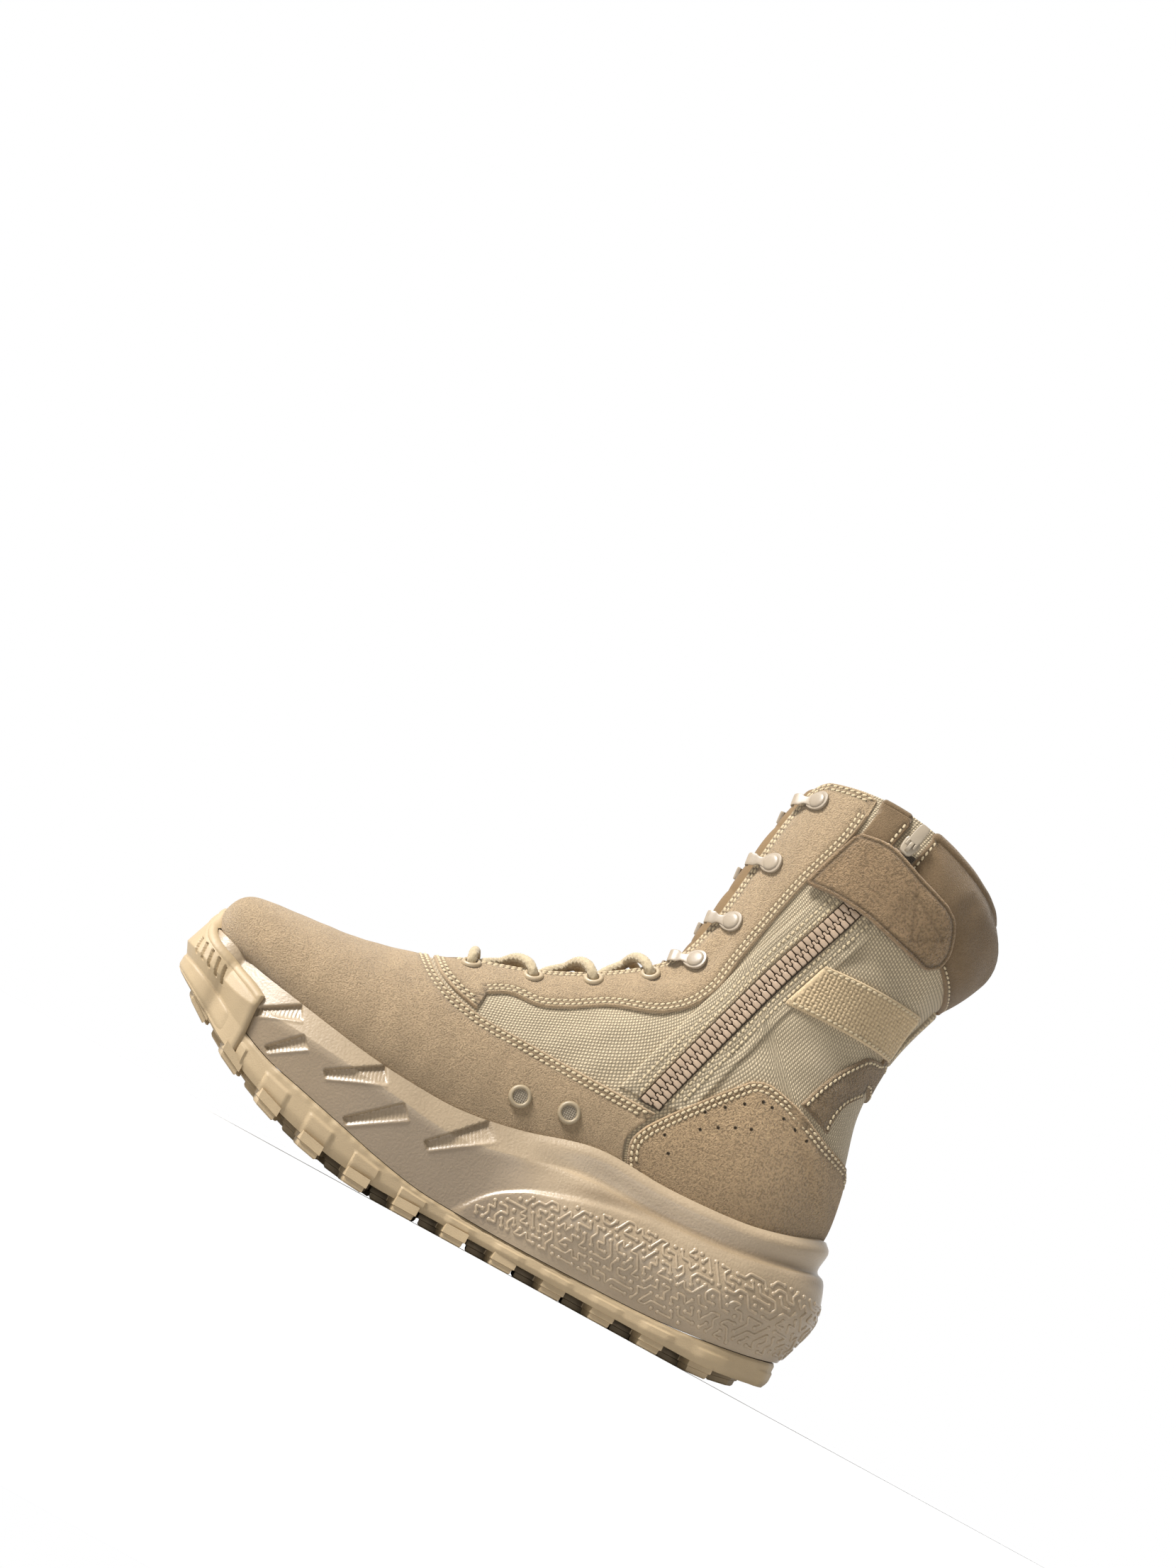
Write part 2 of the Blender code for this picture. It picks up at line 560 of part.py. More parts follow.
def lace_line(low_row, high_row, side):
    """Points of one strand: from under the throat's far edge, over the tongue, to the rim of an eyelet."""
    share = np.linspace(0, 1, 8)
    start, end = LACE_START_SHARE * throat_v(np.float64(low_row)), inset_v(high_row, EYELET_INSET)
    u = low_row + LACE_ROW_STEP + (high_row - low_row - LACE_ROW_STEP) * share
    v = side * (-start + (start + end) * share)
    return form(u, v) + smooth(LACE_SHARES, LACE_LIFTS, share)[:, None] * form_normal(u, v)


def lace_bar_line(row):
    """Points of the lowest strand, straight across between two eyelets."""
    end = inset_v(row, EYELET_INSET)
    share = np.linspace(-1, 1, 9)
    low, high = LACE_BAR_LIFTS
    lift = low + (high - low) * smoothstep(0, LACE_BAR_EDGE, np.abs(share))
    return form(row, end * share) + lift[:, None] * form_normal(row, end * share)


def lace_strand(name, points):
    curve = bpy.data.curves.new(name, "CURVE")
    curve.dimensions = "3D"
    curve.bevel_depth = LACE_RADIUS * MM
    curve.bevel_resolution = 1
    curve.use_fill_caps = True
    spline = curve.splines.new("POLY")
    spline.points.add(len(points) - 1)
    for point, place in zip(spline.points, points):
        point.co = (*(place * MM), 1)
    obj = bpy.data.objects.new(name, curve)
    CUTTERS.objects.link(obj)
    return mesh_of(obj)


def make_laces():
    add_object("lace_bar", lace_strand("lace_bar", lace_bar_line(EYELET_ROWS[0])), LACE)
    for number, rows in enumerate(zip(EYELET_ROWS, EYELET_ROWS[1:]), 1):
        strand = lace_strand("lace_medial", lace_line(*rows, MEDIAL))
        cross = add_object(f"lace_cross_{number}", strand, LACE)
        other = add_object(f"lace_lateral_{number}", lace_strand("lace_lateral", lace_line(*rows, LATERAL)))
        boolean(cross, "UNION", other)


# Zip, its strap and the vents

def zip_x(z):
    return smooth(ZIP_HEIGHTS, ZIP_LINE, z)


def zip_outline(half_width, low, high):
    heights = np.linspace(low, high, ZIP_STEPS)
    lean = np.clip(heights, ZIP_HEIGHTS[0], ZIP_HEIGHTS[-1])
    left = [(float(zip_x(h)) - half_width, float(z)) for z, h in zip(heights, lean)]
    right = [(float(zip_x(h)) + half_width, float(z)) for z, h in zip(heights, lean)]
    return left + right[::-1]


def make_zip():
    top = GAP + ZIP_THICKNESS
    chain = layer("zip_chain", rows_between(8, LAST_ROW), side_columns(MEDIAL), GAP, top, ZIP_FINISH)
    path = zip_outline(ZIP_HALF_WIDTH, ZIP_HEIGHTS[0], ZIP_TOP)
    boolean(chain, "INTERSECT", prism("zip_path", path, -HALF_SPAN, 0))
    rows, columns = rows_between(14, LAST_ROW), side_columns(MEDIAL)
    overlay("zip_strap", STRAP, rows, columns, SUEDE, lift=STRAP_LIFT, radius=5.0)


def zip_place(offset):
    """Placement on the zip's line at the parked slider, X up along the zip."""
    low, high = SLIDER_HEIGHT - 2, SLIDER_HEIGHT + 2
    towards = Vector((float(zip_x(high) - zip_x(low)), 0, high - low))
    u, v = locate(float(zip_x(SLIDER_HEIGHT)), SLIDER_HEIGHT, MEDIAL)
    return surface_frame(u, v, offset, towards)


def block(name, size, centre, bevel):
    mesh = bpy.data.meshes.new(name)
    bm = bmesh.new()
    bmesh.ops.create_cube(bm, size=1)
    bmesh.ops.scale(bm, vec=size * MM, verts=bm.verts)
    bmesh.ops.translate(bm, vec=Vector(centre) * MM, verts=bm.verts)
    bmesh.ops.bevel(bm, geom=bm.edges, offset=bevel * MM, segments=1, affect="EDGES")
    bm.to_mesh(mesh)
    bm.free()
    return mesh


def make_slider():
    lift = GAP + ZIP_THICKNESS + GAP
    body = add_object("zip_slider", block("zip_slider", SLIDER_SIZE, (0, 0, SLIDER_SIZE.z / 2), 0.6), METAL)
    bridge_centre = (0, 0, SLIDER_SIZE.z + BRIDGE_SIZE.z / 2 - BRIDGE_ROOT)
    bridge = add_object("zip_bridge", block("zip_bridge", BRIDGE_SIZE, bridge_centre, 0.3))
    body.matrix_basis = bridge.matrix_basis = zip_place(lift)
    boolean(body, "UNION", bridge)
    pull_size = Vector((PULL_LENGTH, PULL_WIDTH, PULL_THICKNESS))
    pull_centre = ((PULL_LENGTH - PULL_THICKNESS) / 2, 0, 0)
    pull = add_object("zip_pull", block("zip_pull", pull_size, pull_centre, 0.35), METAL)
    slot_size = Vector((2 * PULL_FORK, BRIDGE_SIZE.y + 2 * GAP, 4))
    slot = add_object("zip_pull_slot", block("zip_pull_slot", slot_size, (0, 0, 0), 0.1))
    pull.matrix_basis = slot.matrix_basis = zip_place(lift + SLIDER_SIZE.z + PIVOT_HEIGHT)
    boolean(pull, "DIFFERENCE", slot)


def make_vents():
    lift = GAP + OVERLAY + GAP
    disc = [(0, 0.5), (2.9, 0.5), (3.3, 1.3), (4.5, 1.2), (5.0, 0), (0, 0)]
    for number, (x, z) in enumerate(VENTS, 1):
        vent = turned(f"vent_{number}", disc, 12, METAL)
        vent.matrix_basis = surface_frame(*locate(x, z, MEDIAL), lift, (0, 0, 1))


# Sole

def feather(side):
    """The edge where the upper meets the sole, from toe centre to heel centre, on one side."""
    toe = form(0, side * np.linspace(0, 1, 24))
    flank = form(np.linspace(0, ROW["heel_back"], 160)[1:], side)
    return resample(np.vstack([toe, flank]), SOLE_STATIONS)


FEATHER = {side: feather(side) for side in (MEDIAL, LATERAL)}


def outward(side):
    """Direction in plan that leaves the sole, at each station."""
    along = np.gradient(FEATHER[side][:, :2], axis=0)
    away = side * np.stack([-along[:, 1], along[:, 0]], axis=1)
    away /= np.linalg.norm(away, axis=1, keepdims=True)
    away[0], away[-1] = (-1, 0), (1, 0)
    return away


OUTWARD = {side: outward(side) for side in (MEDIAL, LATERAL)}


def ring(side, out, z):
    """Line round one side of the sole, this far out from the feather edge, at these heights."""
    plan = FEATHER[side][:, :2] + np.broadcast_to(out, SOLE_STATIONS)[:, None] * OUTWARD[side]
    return np.column_stack([plan, np.broadcast_to(z, SOLE_STATIONS)])


def floor_z(x):
    """Height of the lugs' feet: flat under heel and forefoot, bevelled at the heel, a rocker at the toe."""
    toe, heel = np.maximum(FLAT_FROM - x, 0), np.maximum(x - FLAT_TO, 0)
    rocker = TOE_ROCKER_RADIUS - np.sqrt(TOE_ROCKER_RADIUS ** 2 - toe ** 2)
    bevel = HEEL_BEVEL_RADIUS - np.sqrt(HEEL_BEVEL_RADIUS ** 2 - heel ** 2)
    return rocker + bevel


def midsole_side(side):
    """Height share and stand-out of each level of the midsole's side, at each station."""
    x = FEATHER[side][:, 0]
    heel = smoothstep(*HEEL_BLEND, x)
    flare = 1 + BACK_FLARE * smoothstep(*BACK_FLARE_SPAN, x)
    for level in MIDSOLE_SIDE:
        share = level.share_fore + (level.share_heel - level.share_fore) * heel
        out = level.out_fore + (level.out_heel * flare - level.out_fore) * heel
        yield share, out


def rings_of_midsole(side):
    seam = smooth(SEAM_X, SEAM_Z, FEATHER[side][:, 0])
    rim = FEATHER[side][:, 2] - RIM_DROP
    rings = [ring(side, out, seam + share * (rim - seam)) for share, out in midsole_side(side)]
    bed = smooth(BED_X, BED_Z, FEATHER[side][:, 0])
    return rings + [ring(side, RIM_INNER, rim), ring(side, BED_EDGE, bed)]


def lofted_sole(name, rings, finish):
    """Closed solid through the rings of both sides, with its first and last ring bridged straight across."""
    count, stations = len(rings[MEDIAL]), SOLE_STATIONS
    points = np.vstack([np.vstack(rings[MEDIAL]), np.vstack(rings[LATERAL])])
    faces = []
    for half in (0, count * stations):
        for level in range(count - 1):
            for k in range(stations - 1):
                corner = half + level * stations + k
                faces.append((corner, corner + 1, corner + stations + 1, corner + stations))
    for level in (0, count - 1):
        for k in range(stations - 1):
            corner, across = level * stations + k, (count + level) * stations + k
            faces.append((corner, corner + 1, across + 1, across))
    return add_object(name, mesh_from(name, points, faces), finish)


def make_midsole():
    midsole = lofted_sole("midsole", {side: rings_of_midsole(side) for side in (MEDIAL, LATERAL)}, FOAM)
    for number, notch in enumerate(NOTCHES, 1):
        half = notch.width / 2
        outline = [(notch.low_x - half, notch.low_z), (notch.low_x + half, notch.low_z),
                   (notch.high_x + half, notch.high_z), (notch.high_x - half, notch.high_z)]
        middle = (notch.low_x + notch.high_x) / 2
        for side, word in ((MEDIAL, "medial"), (LATERAL, "lateral")):
            depth = sole_edge(side, middle, MIDSOLE_SIDE[2].out_fore) - NOTCH_DEPTH
            span = sorted((side * depth, side * HALF_SPAN))
            boolean(midsole, "DIFFERENCE", prism(f"notch_{word}_{number}", outline, *span))


def sole_edge(side, x, out):
    """How far the sole's edge lies from the middle plane at x."""
    line = ring(side, out, 0)
    return float(np.interp(x, line[:, 0], side * line[:, 1]))


def make_insole():
    rings = {}
    for side in (MEDIAL, LATERAL):
        bed = smooth(BED_X, BED_Z, FEATHER[side][:, 0]) + GAP
        rings[side] = [ring(side, INSOLE_EDGE, bed), ring(side, INSOLE_EDGE, bed + INSOLE)]
    lofted_sole("insole", rings, LINING)


def outsole_rings(side):
    x = FEATHER[side][:, 0]
    seam = smooth(SEAM_X, SEAM_Z, x) - GAP
    under = floor_z(x) + LUG_DEPTH
    toe = OUTSOLE_TOE_OUT * (1 - smoothstep(*OUTSOLE_TOE_SPAN, x))
    out = next(midsole_side(side))[1] + OUTSOLE_OUT + toe
    edge = under + OUTSOLE_EDGE_SHARE * (seam - under)
    return [ring(side, out - OUTSOLE_UNDERCUT, under), ring(side, out, edge), ring(side, out, seam)]


def toe_reaches(side):
    """Distance round the toe from its centre to each station of one side."""
    steps = np.linalg.norm(np.diff(FEATHER[side][:, :2], axis=0), axis=1)
    return np.concatenate([[0], np.cumsum(steps)])


def bumper_column(side, reach):
    """Points up the bumper's inner face, this far round the toe: along the midsole, then up the vamp."""
    def at(column):
        return np.interp(reach, toe_reaches(side), column)

    line = FEATHER[side]
    place, away = ([at(table[:, axis]) for axis in (0, 1)] for table in (line, OUTWARD[side]))
    seam, rim = at(smooth(SEAM_X, SEAM_Z, line[:, 0])), at(line[:, 2])
    shares, outs = zip(*[(at(share), at(out)) for share, out in midsole_side(side)])
    heights = np.linspace(seam - BUMPER_ROOT, smooth(BUMPER_REACH, BUMPER_TOP, reach), BUMPER_LEVELS)
    out = np.interp((heights - seam) / (rim - seam), shares, outs) + BUMPER_CLEARANCE
    out = np.maximum(out, BUMPER_LEAST_OUT)
    return np.column_stack([place[0] + out * away[0], place[1] + out * away[1], heights])


def bumper_sheet():
    """Inner face of the toe bumper, on the sole's own stations."""
    end = BUMPER_REACH[-1]
    halves = []
    for side in (MEDIAL, LATERAL):
        reaches = [reach for reach in toe_reaches(side) if reach < end - BUMPER_LAST_STEP] + [end]
        halves.append([bumper_column(side, reach) for reach in reaches])
    columns = halves[0][::-1] + halves[1][1:]
    faces = []
    for i in range(len(columns) - 1):
        for j in range(BUMPER_LEVELS - 1):
            corner = i * BUMPER_LEVELS + j
            faces.append((corner, corner + BUMPER_LEVELS, corner + BUMPER_LEVELS + 1, corner + 1))
    return add_object("toe_bumper", mesh_from("toe_bumper", np.vstack(columns), faces))


def lug_outline(length, width, kink):
    return [(-width / 2, -length / 2), (-width / 2 + kink, 0), (-width / 2, length / 2),
            (width / 2, length / 2), (width / 2 + kink, 0), (width / 2, -length / 2)]


def tread_places():
    """Place, length and kink of each lug that fits on the sole."""
    rows = int((TREAD_TO - TREAD_FROM) / TREAD_PITCH) + 1
    for i in range(rows):
        for side in (MEDIAL, LATERAL):
            x_edge, x_inner = TREAD_FROM + TREAD_PITCH * i, TREAD_FROM + TREAD_PITCH * (i + 0.5)
            edge = sole_edge(side, x_edge, MIDSOLE_SIDE[0].out_fore)
            length = min(LUG_LENGTH, LUG_LENGTH_SHARE * edge)
            if edge > LEAST_TREAD_EDGE:
                yield x_edge, side * (edge - length / 2 + LUG_PROUD), length, -LUG_KINK
            if edge > LEAST_TREAD_EDGE and x_inner < TREAD_TO:
                yield x_inner, side * LUG_INNER_SHARE * edge, length, LUG_KINK


def tread_lugs():
    """All lugs as one body to join on: a pair at the edges and a pair inside, in staggered rows."""
    bm = bmesh.new()
    for x, y, length, kink in tread_places():
        feet = []
        for a, b in lug_outline(length, LUG_WIDTH, kink):
            feet.append(bm.verts.new(Vector((x + a, y + b, float(floor_z(x + a)))) * MM))
        top = bmesh.ops.extrude_face_region(bm, geom=[bm.faces.new(feet)])["geom"]
        raised = [part for part in top if isinstance(part, bmesh.types.BMVert)]
        bmesh.ops.translate(bm, vec=(0, 0, (LUG_DEPTH + LUG_ROOT) * MM), verts=raised)
    bmesh.ops.recalc_face_normals(bm, faces=bm.faces)
    bmesh.ops.triangulate(bm, faces=bm.faces)
    mesh = bpy.data.meshes.new("tread_lugs")
    bm.to_mesh(mesh)
    bm.free()
    return add_object("tread_lugs", mesh)


def make_outsole():
    outsole = lofted_sole("outsole", {side: outsole_rings(side) for side in (MEDIAL, LATERAL)}, RUBBER)
    bumper = bumper_sheet()
    wall = bumper.modifiers.new("Wall", "SOLIDIFY")
    wall.thickness = BUMPER_THICKNESS * MM
    wall.offset = 1
    boolean(outsole, "UNION", tread_lugs(), bumper)


# The boot

for old in list(bpy.data.objects):
    bpy.data.objects.remove(old)
PARTS = collection("tactical_boot")
CUTTERS = collection("cutters")
BOOT = bpy.data.objects.new("boot", None)
PARTS.objects.link(BOOT)
SUEDE = material("suede", (0.46, 0.35, 0.21), 0.95)
NYLON = material("woven_nylon", (0.55, 0.46, 0.31), 0.8)
WEB = material("webbing", (0.52, 0.43, 0.28), 0.85)
LINING = material("lining", (0.42, 0.31, 0.18), 0.9)
FOAM = material("midsole_foam", (0.58, 0.48, 0.33), 0.7)
RUBBER = material("outsole_rubber", (0.60, 0.49, 0.32), 0.65)
METAL = material("painted_metal", (0.70, 0.60, 0.45), 0.35, 0.3)
LACE = material("lace", (0.66, 0.56, 0.38), 0.85)
ZIP_FINISH = material("zip_chain", (0.45, 0.33, 0.22), 0.5)
LACING_CUTTER = lacing_cutter()

make_outsole()
make_midsole()
make_insole()
make_upper()
make_tongue()
make_overlays()
make_zip()
make_slider()
make_eyelets()
make_hooks()
make_laces()
make_vents()
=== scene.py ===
"""Looks of the tactical boot: suede, nylon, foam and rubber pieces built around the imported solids.

Sizes are millimetres, but meshes, lights and camera are in metres. Row u and share v count on the upper's
form: u runs from the toe over the instep to the collar, v from -1 on the medial edge over 0 on the ridge
to 1 on the lateral edge. Outlines of panels are (x, z) points as seen from the side.
"""

import math
from collections import namedtuple
from functools import partial

import bmesh
import bpy
import numpy as np
from mathutils import Matrix, Vector
from mathutils.geometry import delaunay_2d_cdt
from mathutils.kdtree import KDTree


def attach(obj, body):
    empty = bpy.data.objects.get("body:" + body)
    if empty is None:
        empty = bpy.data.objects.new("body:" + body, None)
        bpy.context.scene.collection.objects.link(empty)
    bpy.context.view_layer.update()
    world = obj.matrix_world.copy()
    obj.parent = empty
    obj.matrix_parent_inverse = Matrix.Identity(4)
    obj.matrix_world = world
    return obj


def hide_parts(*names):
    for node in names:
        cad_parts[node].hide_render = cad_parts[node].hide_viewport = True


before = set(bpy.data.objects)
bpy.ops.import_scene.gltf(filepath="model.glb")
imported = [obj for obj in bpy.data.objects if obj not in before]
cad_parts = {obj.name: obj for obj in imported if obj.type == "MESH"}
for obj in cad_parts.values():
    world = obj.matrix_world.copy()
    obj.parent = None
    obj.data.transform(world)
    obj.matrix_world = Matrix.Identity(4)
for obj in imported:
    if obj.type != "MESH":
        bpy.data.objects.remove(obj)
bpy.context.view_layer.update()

MM = 0.001
UP = (0, 0, 1)
MEDIAL, LATERAL = -1, 1
SIDES = ((MEDIAL, "medial"), (LATERAL, "lateral"))
RNG = np.random.default_rng(7)

# The upper's form, as in the part's source
Section = namedtuple("Section", "base_x base_z medial lateral top_x top_z ridge_y fullness swell crown")
SECTIONS = [
    Section(-130, 61.6, 30, 27, -149, 68.5, -6, 2.3, 0, 0),
    Section(-125, 60, 33, 30, -150, 79, -6, 2.3, 3, 0),
    Section(-117, 58.2, 37, 34, -143, 87.5, -6, 2.3, 5, 0),
    Section(-103, 55.7, 41.5, 39, -121, 91, -5, 2.25, 8, 0),
    Section(-84, 52.5, 44, 43, -97, 94, -4, 2.15, 10, 0),
    Section(-64, 49.6, 44.5, 46, -71, 101, -3, 2.0, 12, 0),
    Section(-45, 48.2, 43, 47, -48, 111.5, -2, 1.85, 14, 0),
    Section(-22, 48.3, 39.5, 46, -22, 122, -1, 1.7, 17, 0),
    Section(4, 53, 36, 43.5, 0, 134, 0, 1.6, 20, 0),
    Section(36, 61.8, 34, 39.5, 16, 145, 0, 1.5, 24, 0),
    Section(70, 61.4, 33.5, 36, 25.5, 155, 0, 1.4, 27, 0),
    Section(102, 63.7, 32.5, 33, 29, 164, 0, 1.25, 31, 0),
    Section(122, 68.5, 27, 27, 31, 172.5, 0, 1.14, 34, 0),
    Section(136, 74.5, 15, 15, 32.3, 181, 0, 1.06, 36, 0),
    Section(141, 78, 0, 0, 33.3, 190, 0, 1.0, 37, 0),
    Section(138.3, 100, 0, 0, 34.6, 200, 0, 1.0, 37, 0),
    Section(131, 131, 0, 0, 36, 211, 0, 1.0, 37, 0),
    Section(131.5, 160, 0, 0, 37.5, 222, 0, 1.0, 38, 0),
    Section(139.5, 187, 0, 0, 39.5, 233, 0, 1.0, 40, 2),
    Section(149.5, 215, 0, 0, 42, 243.5, 0, 1.0, 42.5, 5),
    Section(143, 236, 0, 0, 44.5, 252, 0, 1.0, 41, 7),
]
COLUMNS = dict(zip(Section._fields, zip(*SECTIONS)))
LAST_ROW, HEEL_ROW = len(SECTIONS) - 1, 14
SWELL_ROUNDNESS = 0.9
LEAST_NORMAL_ROW, LEAST_NORMAL_Z = 0.5, -0.2
THROAT_ROWS, THROAT_HALF_GAPS, THROAT_MOST_V = (5, 6, 10, LAST_ROW), (9, 12, 14, 16), 0.6
WALL = 2.2
SOLE_TRIM, TOE_TRIM, HIDDEN_TRIM = 0.025, 0.2, 0.012
FEATHER_V, FEATHER_CLEARANCE = 1 - HIDDEN_TRIM, 0.004

# Soft folds of the upper, as lines seen from the side
Crease = namedtuple("Crease", "depth width line")
CREASES = [
    Crease(0.45, 5.5, [(-66, 62), (-76, 78), (-84, 92)]),
    Crease(0.3, 5.0, [(-52, 62), (-60, 76), (-66, 90)]),
    Crease(0.35, 5.0, [(8, 94), (20, 104), (34, 112)]),
    Crease(0.3, 5.0, [(26, 92), (38, 104), (46, 118)]),
    Crease(0.3, 5.0, [(-22, 92), (-8, 97), (8, 108)]),
    Crease(0.5, 6.0, [(84, 140), (98, 146), (112, 144)]),
    Crease(0.4, 5.5, [(66, 128), (80, 134), (96, 130)]),
    Crease(0.7, 5.0, [(92, 188), (106, 192), (122, 188)]),
    Crease(0.8, 5.0, [(126, 228), (136, 220), (146, 214)]),
    Crease(0.5, 4.0, [(26, 140), (36, 150), (44, 168)]),
]
RIDGE_SHARE, RIDGE_PLACE, RIDGE_WIDTH = 0.55, 1.7, 0.8

# Searches and walks on the form
SEARCH_ROWS, SEARCH_SHARES, SEARCH_STEPS = np.linspace(0, LAST_ROW, 161), np.linspace(0.02, 0.98, 65), 10
MOST_STEP_U, MOST_STEP_V, LEAST_DET, SHARE_LIMITS = 0.3, 0.05, 30, (0.005, 0.995)
WALK_STEP, LEAST_AREA = 1.2, 1e-3
WAVE_COUNT, WAVE_SPREAD, WAVE_SUM = 7, 1.7, 4


# Curves

def smooth(knots, values, at):
    """Cubic curve through a table's values, with the slopes of the neighbouring chords."""
    knots, values, at = (np.asarray(a, float) for a in (knots, values, at))
    slopes = np.gradient(values, knots)
    i = np.clip(np.searchsorted(knots, at, side="right") - 1, 0, len(knots) - 2)
    step = knots[i + 1] - knots[i]
    t = np.clip((at - knots[i]) / step, 0, 1)
    start = values[i] * (1 + 2 * t) * (1 - t) ** 2 + values[i + 1] * t * t * (3 - 2 * t)
    return start + step * (slopes[i] * t * (1 - t) ** 2 - slopes[i + 1] * t * t * (1 - t))


def smoothstep(low, high, at):
    t = np.clip((np.asarray(at, float) - low) / (high - low), 0, 1)
    return t * t * (3 - 2 * t)


def bell(at):
    return np.exp(-np.square(at))


def rounded(share):
    """Quarter of a circle that rises from 0 to 1."""
    return np.sqrt(1 - (1 - np.clip(share, 0, 1)) ** 2)


def unit(vectors):
    return vectors / np.linalg.norm(vectors, axis=-1, keepdims=True)


def turns(steps):
    """Angles of a full turn in even steps."""
    return np.arange(steps) * 2 * math.pi / steps


def lengths_of(points):
    return np.concatenate([[0], np.cumsum(np.linalg.norm(np.diff(points, axis=0), axis=1))])


def table_at(at, knots, table):
    """Values of each column of a table between its knots."""
    return np.column_stack([np.interp(at, knots, column) for column in np.asarray(table).T])


def smooth_line(points, step=0.8):
    """Smooth curve through points, sampled evenly."""
    points = np.asarray(points, float)
    length = lengths_of(points)
    at = np.linspace(0, length[-1], max(int(length[-1] / step), 3) + 1)
    return np.column_stack([smooth(length, column, at) for column in points.T])


def wander(points, seed, wavelength):
    """Smooth wandering value between about -1 and 1, from a sum of waves in all directions."""
    rng = np.random.default_rng(seed)
    waves = rng.normal(size=(WAVE_COUNT, 3)) * 2 * math.pi / wavelength / WAVE_SPREAD
    phases = rng.uniform(0, 2 * math.pi, WAVE_COUNT)
    return np.sin(points @ waves.T + phases).sum(axis=-1) / WAVE_SUM


def tree_of(points):
    tree = KDTree(len(points))
    for i, point in enumerate(points):
        tree.insert(point, i)
    tree.balance()
    return tree


def nearest(points, tree):
    """Distances to the nearest points of a tree."""
    return np.array([tree.find(point)[2] for point in points])


# The form

def form(u, v):
    """Point of the upper's outer face at row u and share v."""
    u, v = np.broadcast_arrays(np.asarray(u, float), np.asarray(v, float))
    at = {name: smooth(np.arange(len(column)), column, u) for name, column in COLUMNS.items()}
    tau = np.maximum(1 - np.abs(v), 0) * math.pi / 2
    rise = np.sin(tau) ** (2 / at["fullness"])
    spread = np.cos(tau) ** (2 / at["fullness"]) * (u < HEEL_ROW)
    swell = at["swell"] * np.maximum(np.sin(2 * tau), 0) ** SWELL_ROUNDNESS
    half = np.hypot(np.where(v < 0, at["medial"], at["lateral"]) * spread, swell)
    x = at["base_x"] + (at["top_x"] - at["base_x"]) * rise
    y = np.sign(v) * half + at["ridge_y"] * rise
    z = at["base_z"] + (at["top_z"] - at["base_z"]) * rise + 4 * at["crown"] * rise * (1 - rise)
    return np.stack([x, y, z], axis=-1)


def slopes_of_form(u, v, step=1e-3):
    along = form(np.minimum(u + step, LAST_ROW), v) - form(np.maximum(u - step, 0), v)
    around = form(u, np.minimum(v + step, 1)) - form(u, np.maximum(v - step, -1))
    return along / (2 * step), around / (2 * step)


def form_normal(u, v):
    """Outward direction of the form, never far below level."""
    u, v = np.broadcast_arrays(np.maximum(u, LEAST_NORMAL_ROW), np.asarray(v, float))
    normal = np.cross(*slopes_of_form(u, v))
    seam = (np.abs(v) > 1 - 1e-9) & (u >= HEEL_ROW)
    normal[..., 1] = np.where(seam, 0, normal[..., 1])
    normal = unit(normal)
    normal[..., 2] = np.maximum(normal[..., 2], LEAST_NORMAL_Z)
    return unit(normal)


def throat_v(u):
    """Share v of the throat's edge, by halving."""
    gap = smooth(THROAT_ROWS, THROAT_HALF_GAPS, u)
    low, high = np.zeros_like(gap), np.full_like(gap, THROAT_MOST_V)
    for _ in range(30):
        middle = (low + high) / 2
        wide = form(u, middle)[..., 1] - form(u, 0)[..., 1] > gap
        low, high = np.where(wide, low, middle), np.where(wide, middle, high)
    return middle


def inset_v(u, inset):
    """Share v of the point this far outside the throat's edge, along the section."""
    shares = np.linspace(throat_v(np.float64(u)), 1, 200)
    return float(np.interp(inset, lengths_of(form(u, shares)), shares))


def back_row(z):
    """Row whose back edge has this height."""
    return float(np.interp(z, COLUMNS["base_z"][HEEL_ROW:], np.arange(HEEL_ROW, LAST_ROW + 1)))


def on_form(points, side):
    """Rows and shares that show at these (x, z) from one side: best of a grid, then Newton steps."""
    points = np.asarray(points, float)
    u, v = np.meshgrid(SEARCH_ROWS, SEARCH_SHARES, indexing="ij")
    seen = form(u, side * v)[..., ::2].reshape(-1, 2)
    best = [int(np.argmin(((seen - point) ** 2).sum(axis=1))) for point in points]
    u, v = u.flat[best], v.flat[best]
    for _ in range(SEARCH_STEPS):
        miss = points - form(u, side * v)[..., ::2]
        along, around = (slope[..., ::2] for slope in slopes_of_form(u, side * v))
        around = around * side
        det = along[:, 0] * around[:, 1] - along[:, 1] * around[:, 0]
        det = np.where(np.abs(det) < LEAST_DET, np.where(det < 0, -LEAST_DET, LEAST_DET), det)
        step_u = (miss[:, 0] * around[:, 1] - miss[:, 1] * around[:, 0]) / det
        step_v = (along[:, 0] * miss[:, 1] - along[:, 1] * miss[:, 0]) / det
        u = np.clip(u + np.clip(step_u, -MOST_STEP_U, MOST_STEP_U), 0, LAST_ROW)
        v = np.clip(v + np.clip(step_v, -MOST_STEP_V, MOST_STEP_V), *SHARE_LIMITS)
    return u, side * v


def locate(x, z, side):
    u, v = on_form([(x, z)], side)
    return float(u[0]), float(v[0])


def shifted(u, v, direction, distance):
    """The form's points this far along a direction laid into its surface, walked in short steps."""
    steps = max(int(distance / WALK_STEP), 1)
    for _ in range(steps):
        along, around = slopes_of_form(u, v)
        aa, ab, bb = (along * along).sum(-1), (along * around).sum(-1), (around * around).sum(-1)
        da, db = (along * direction).sum(-1), (around * direction).sum(-1)
        det = np.maximum(aa * bb - ab * ab, LEAST_AREA)
        u = np.clip(u + (da * bb - db * ab) / det * distance / steps, 0, LAST_ROW)
        v = v + (db * aa - da * ab) / det * distance / steps
        past = (np.abs(v) > 1) & (u >= HEEL_ROW)
        v = np.clip(np.where(past, v - 2 * np.sign(v), v), -1, 1)
    return u, v


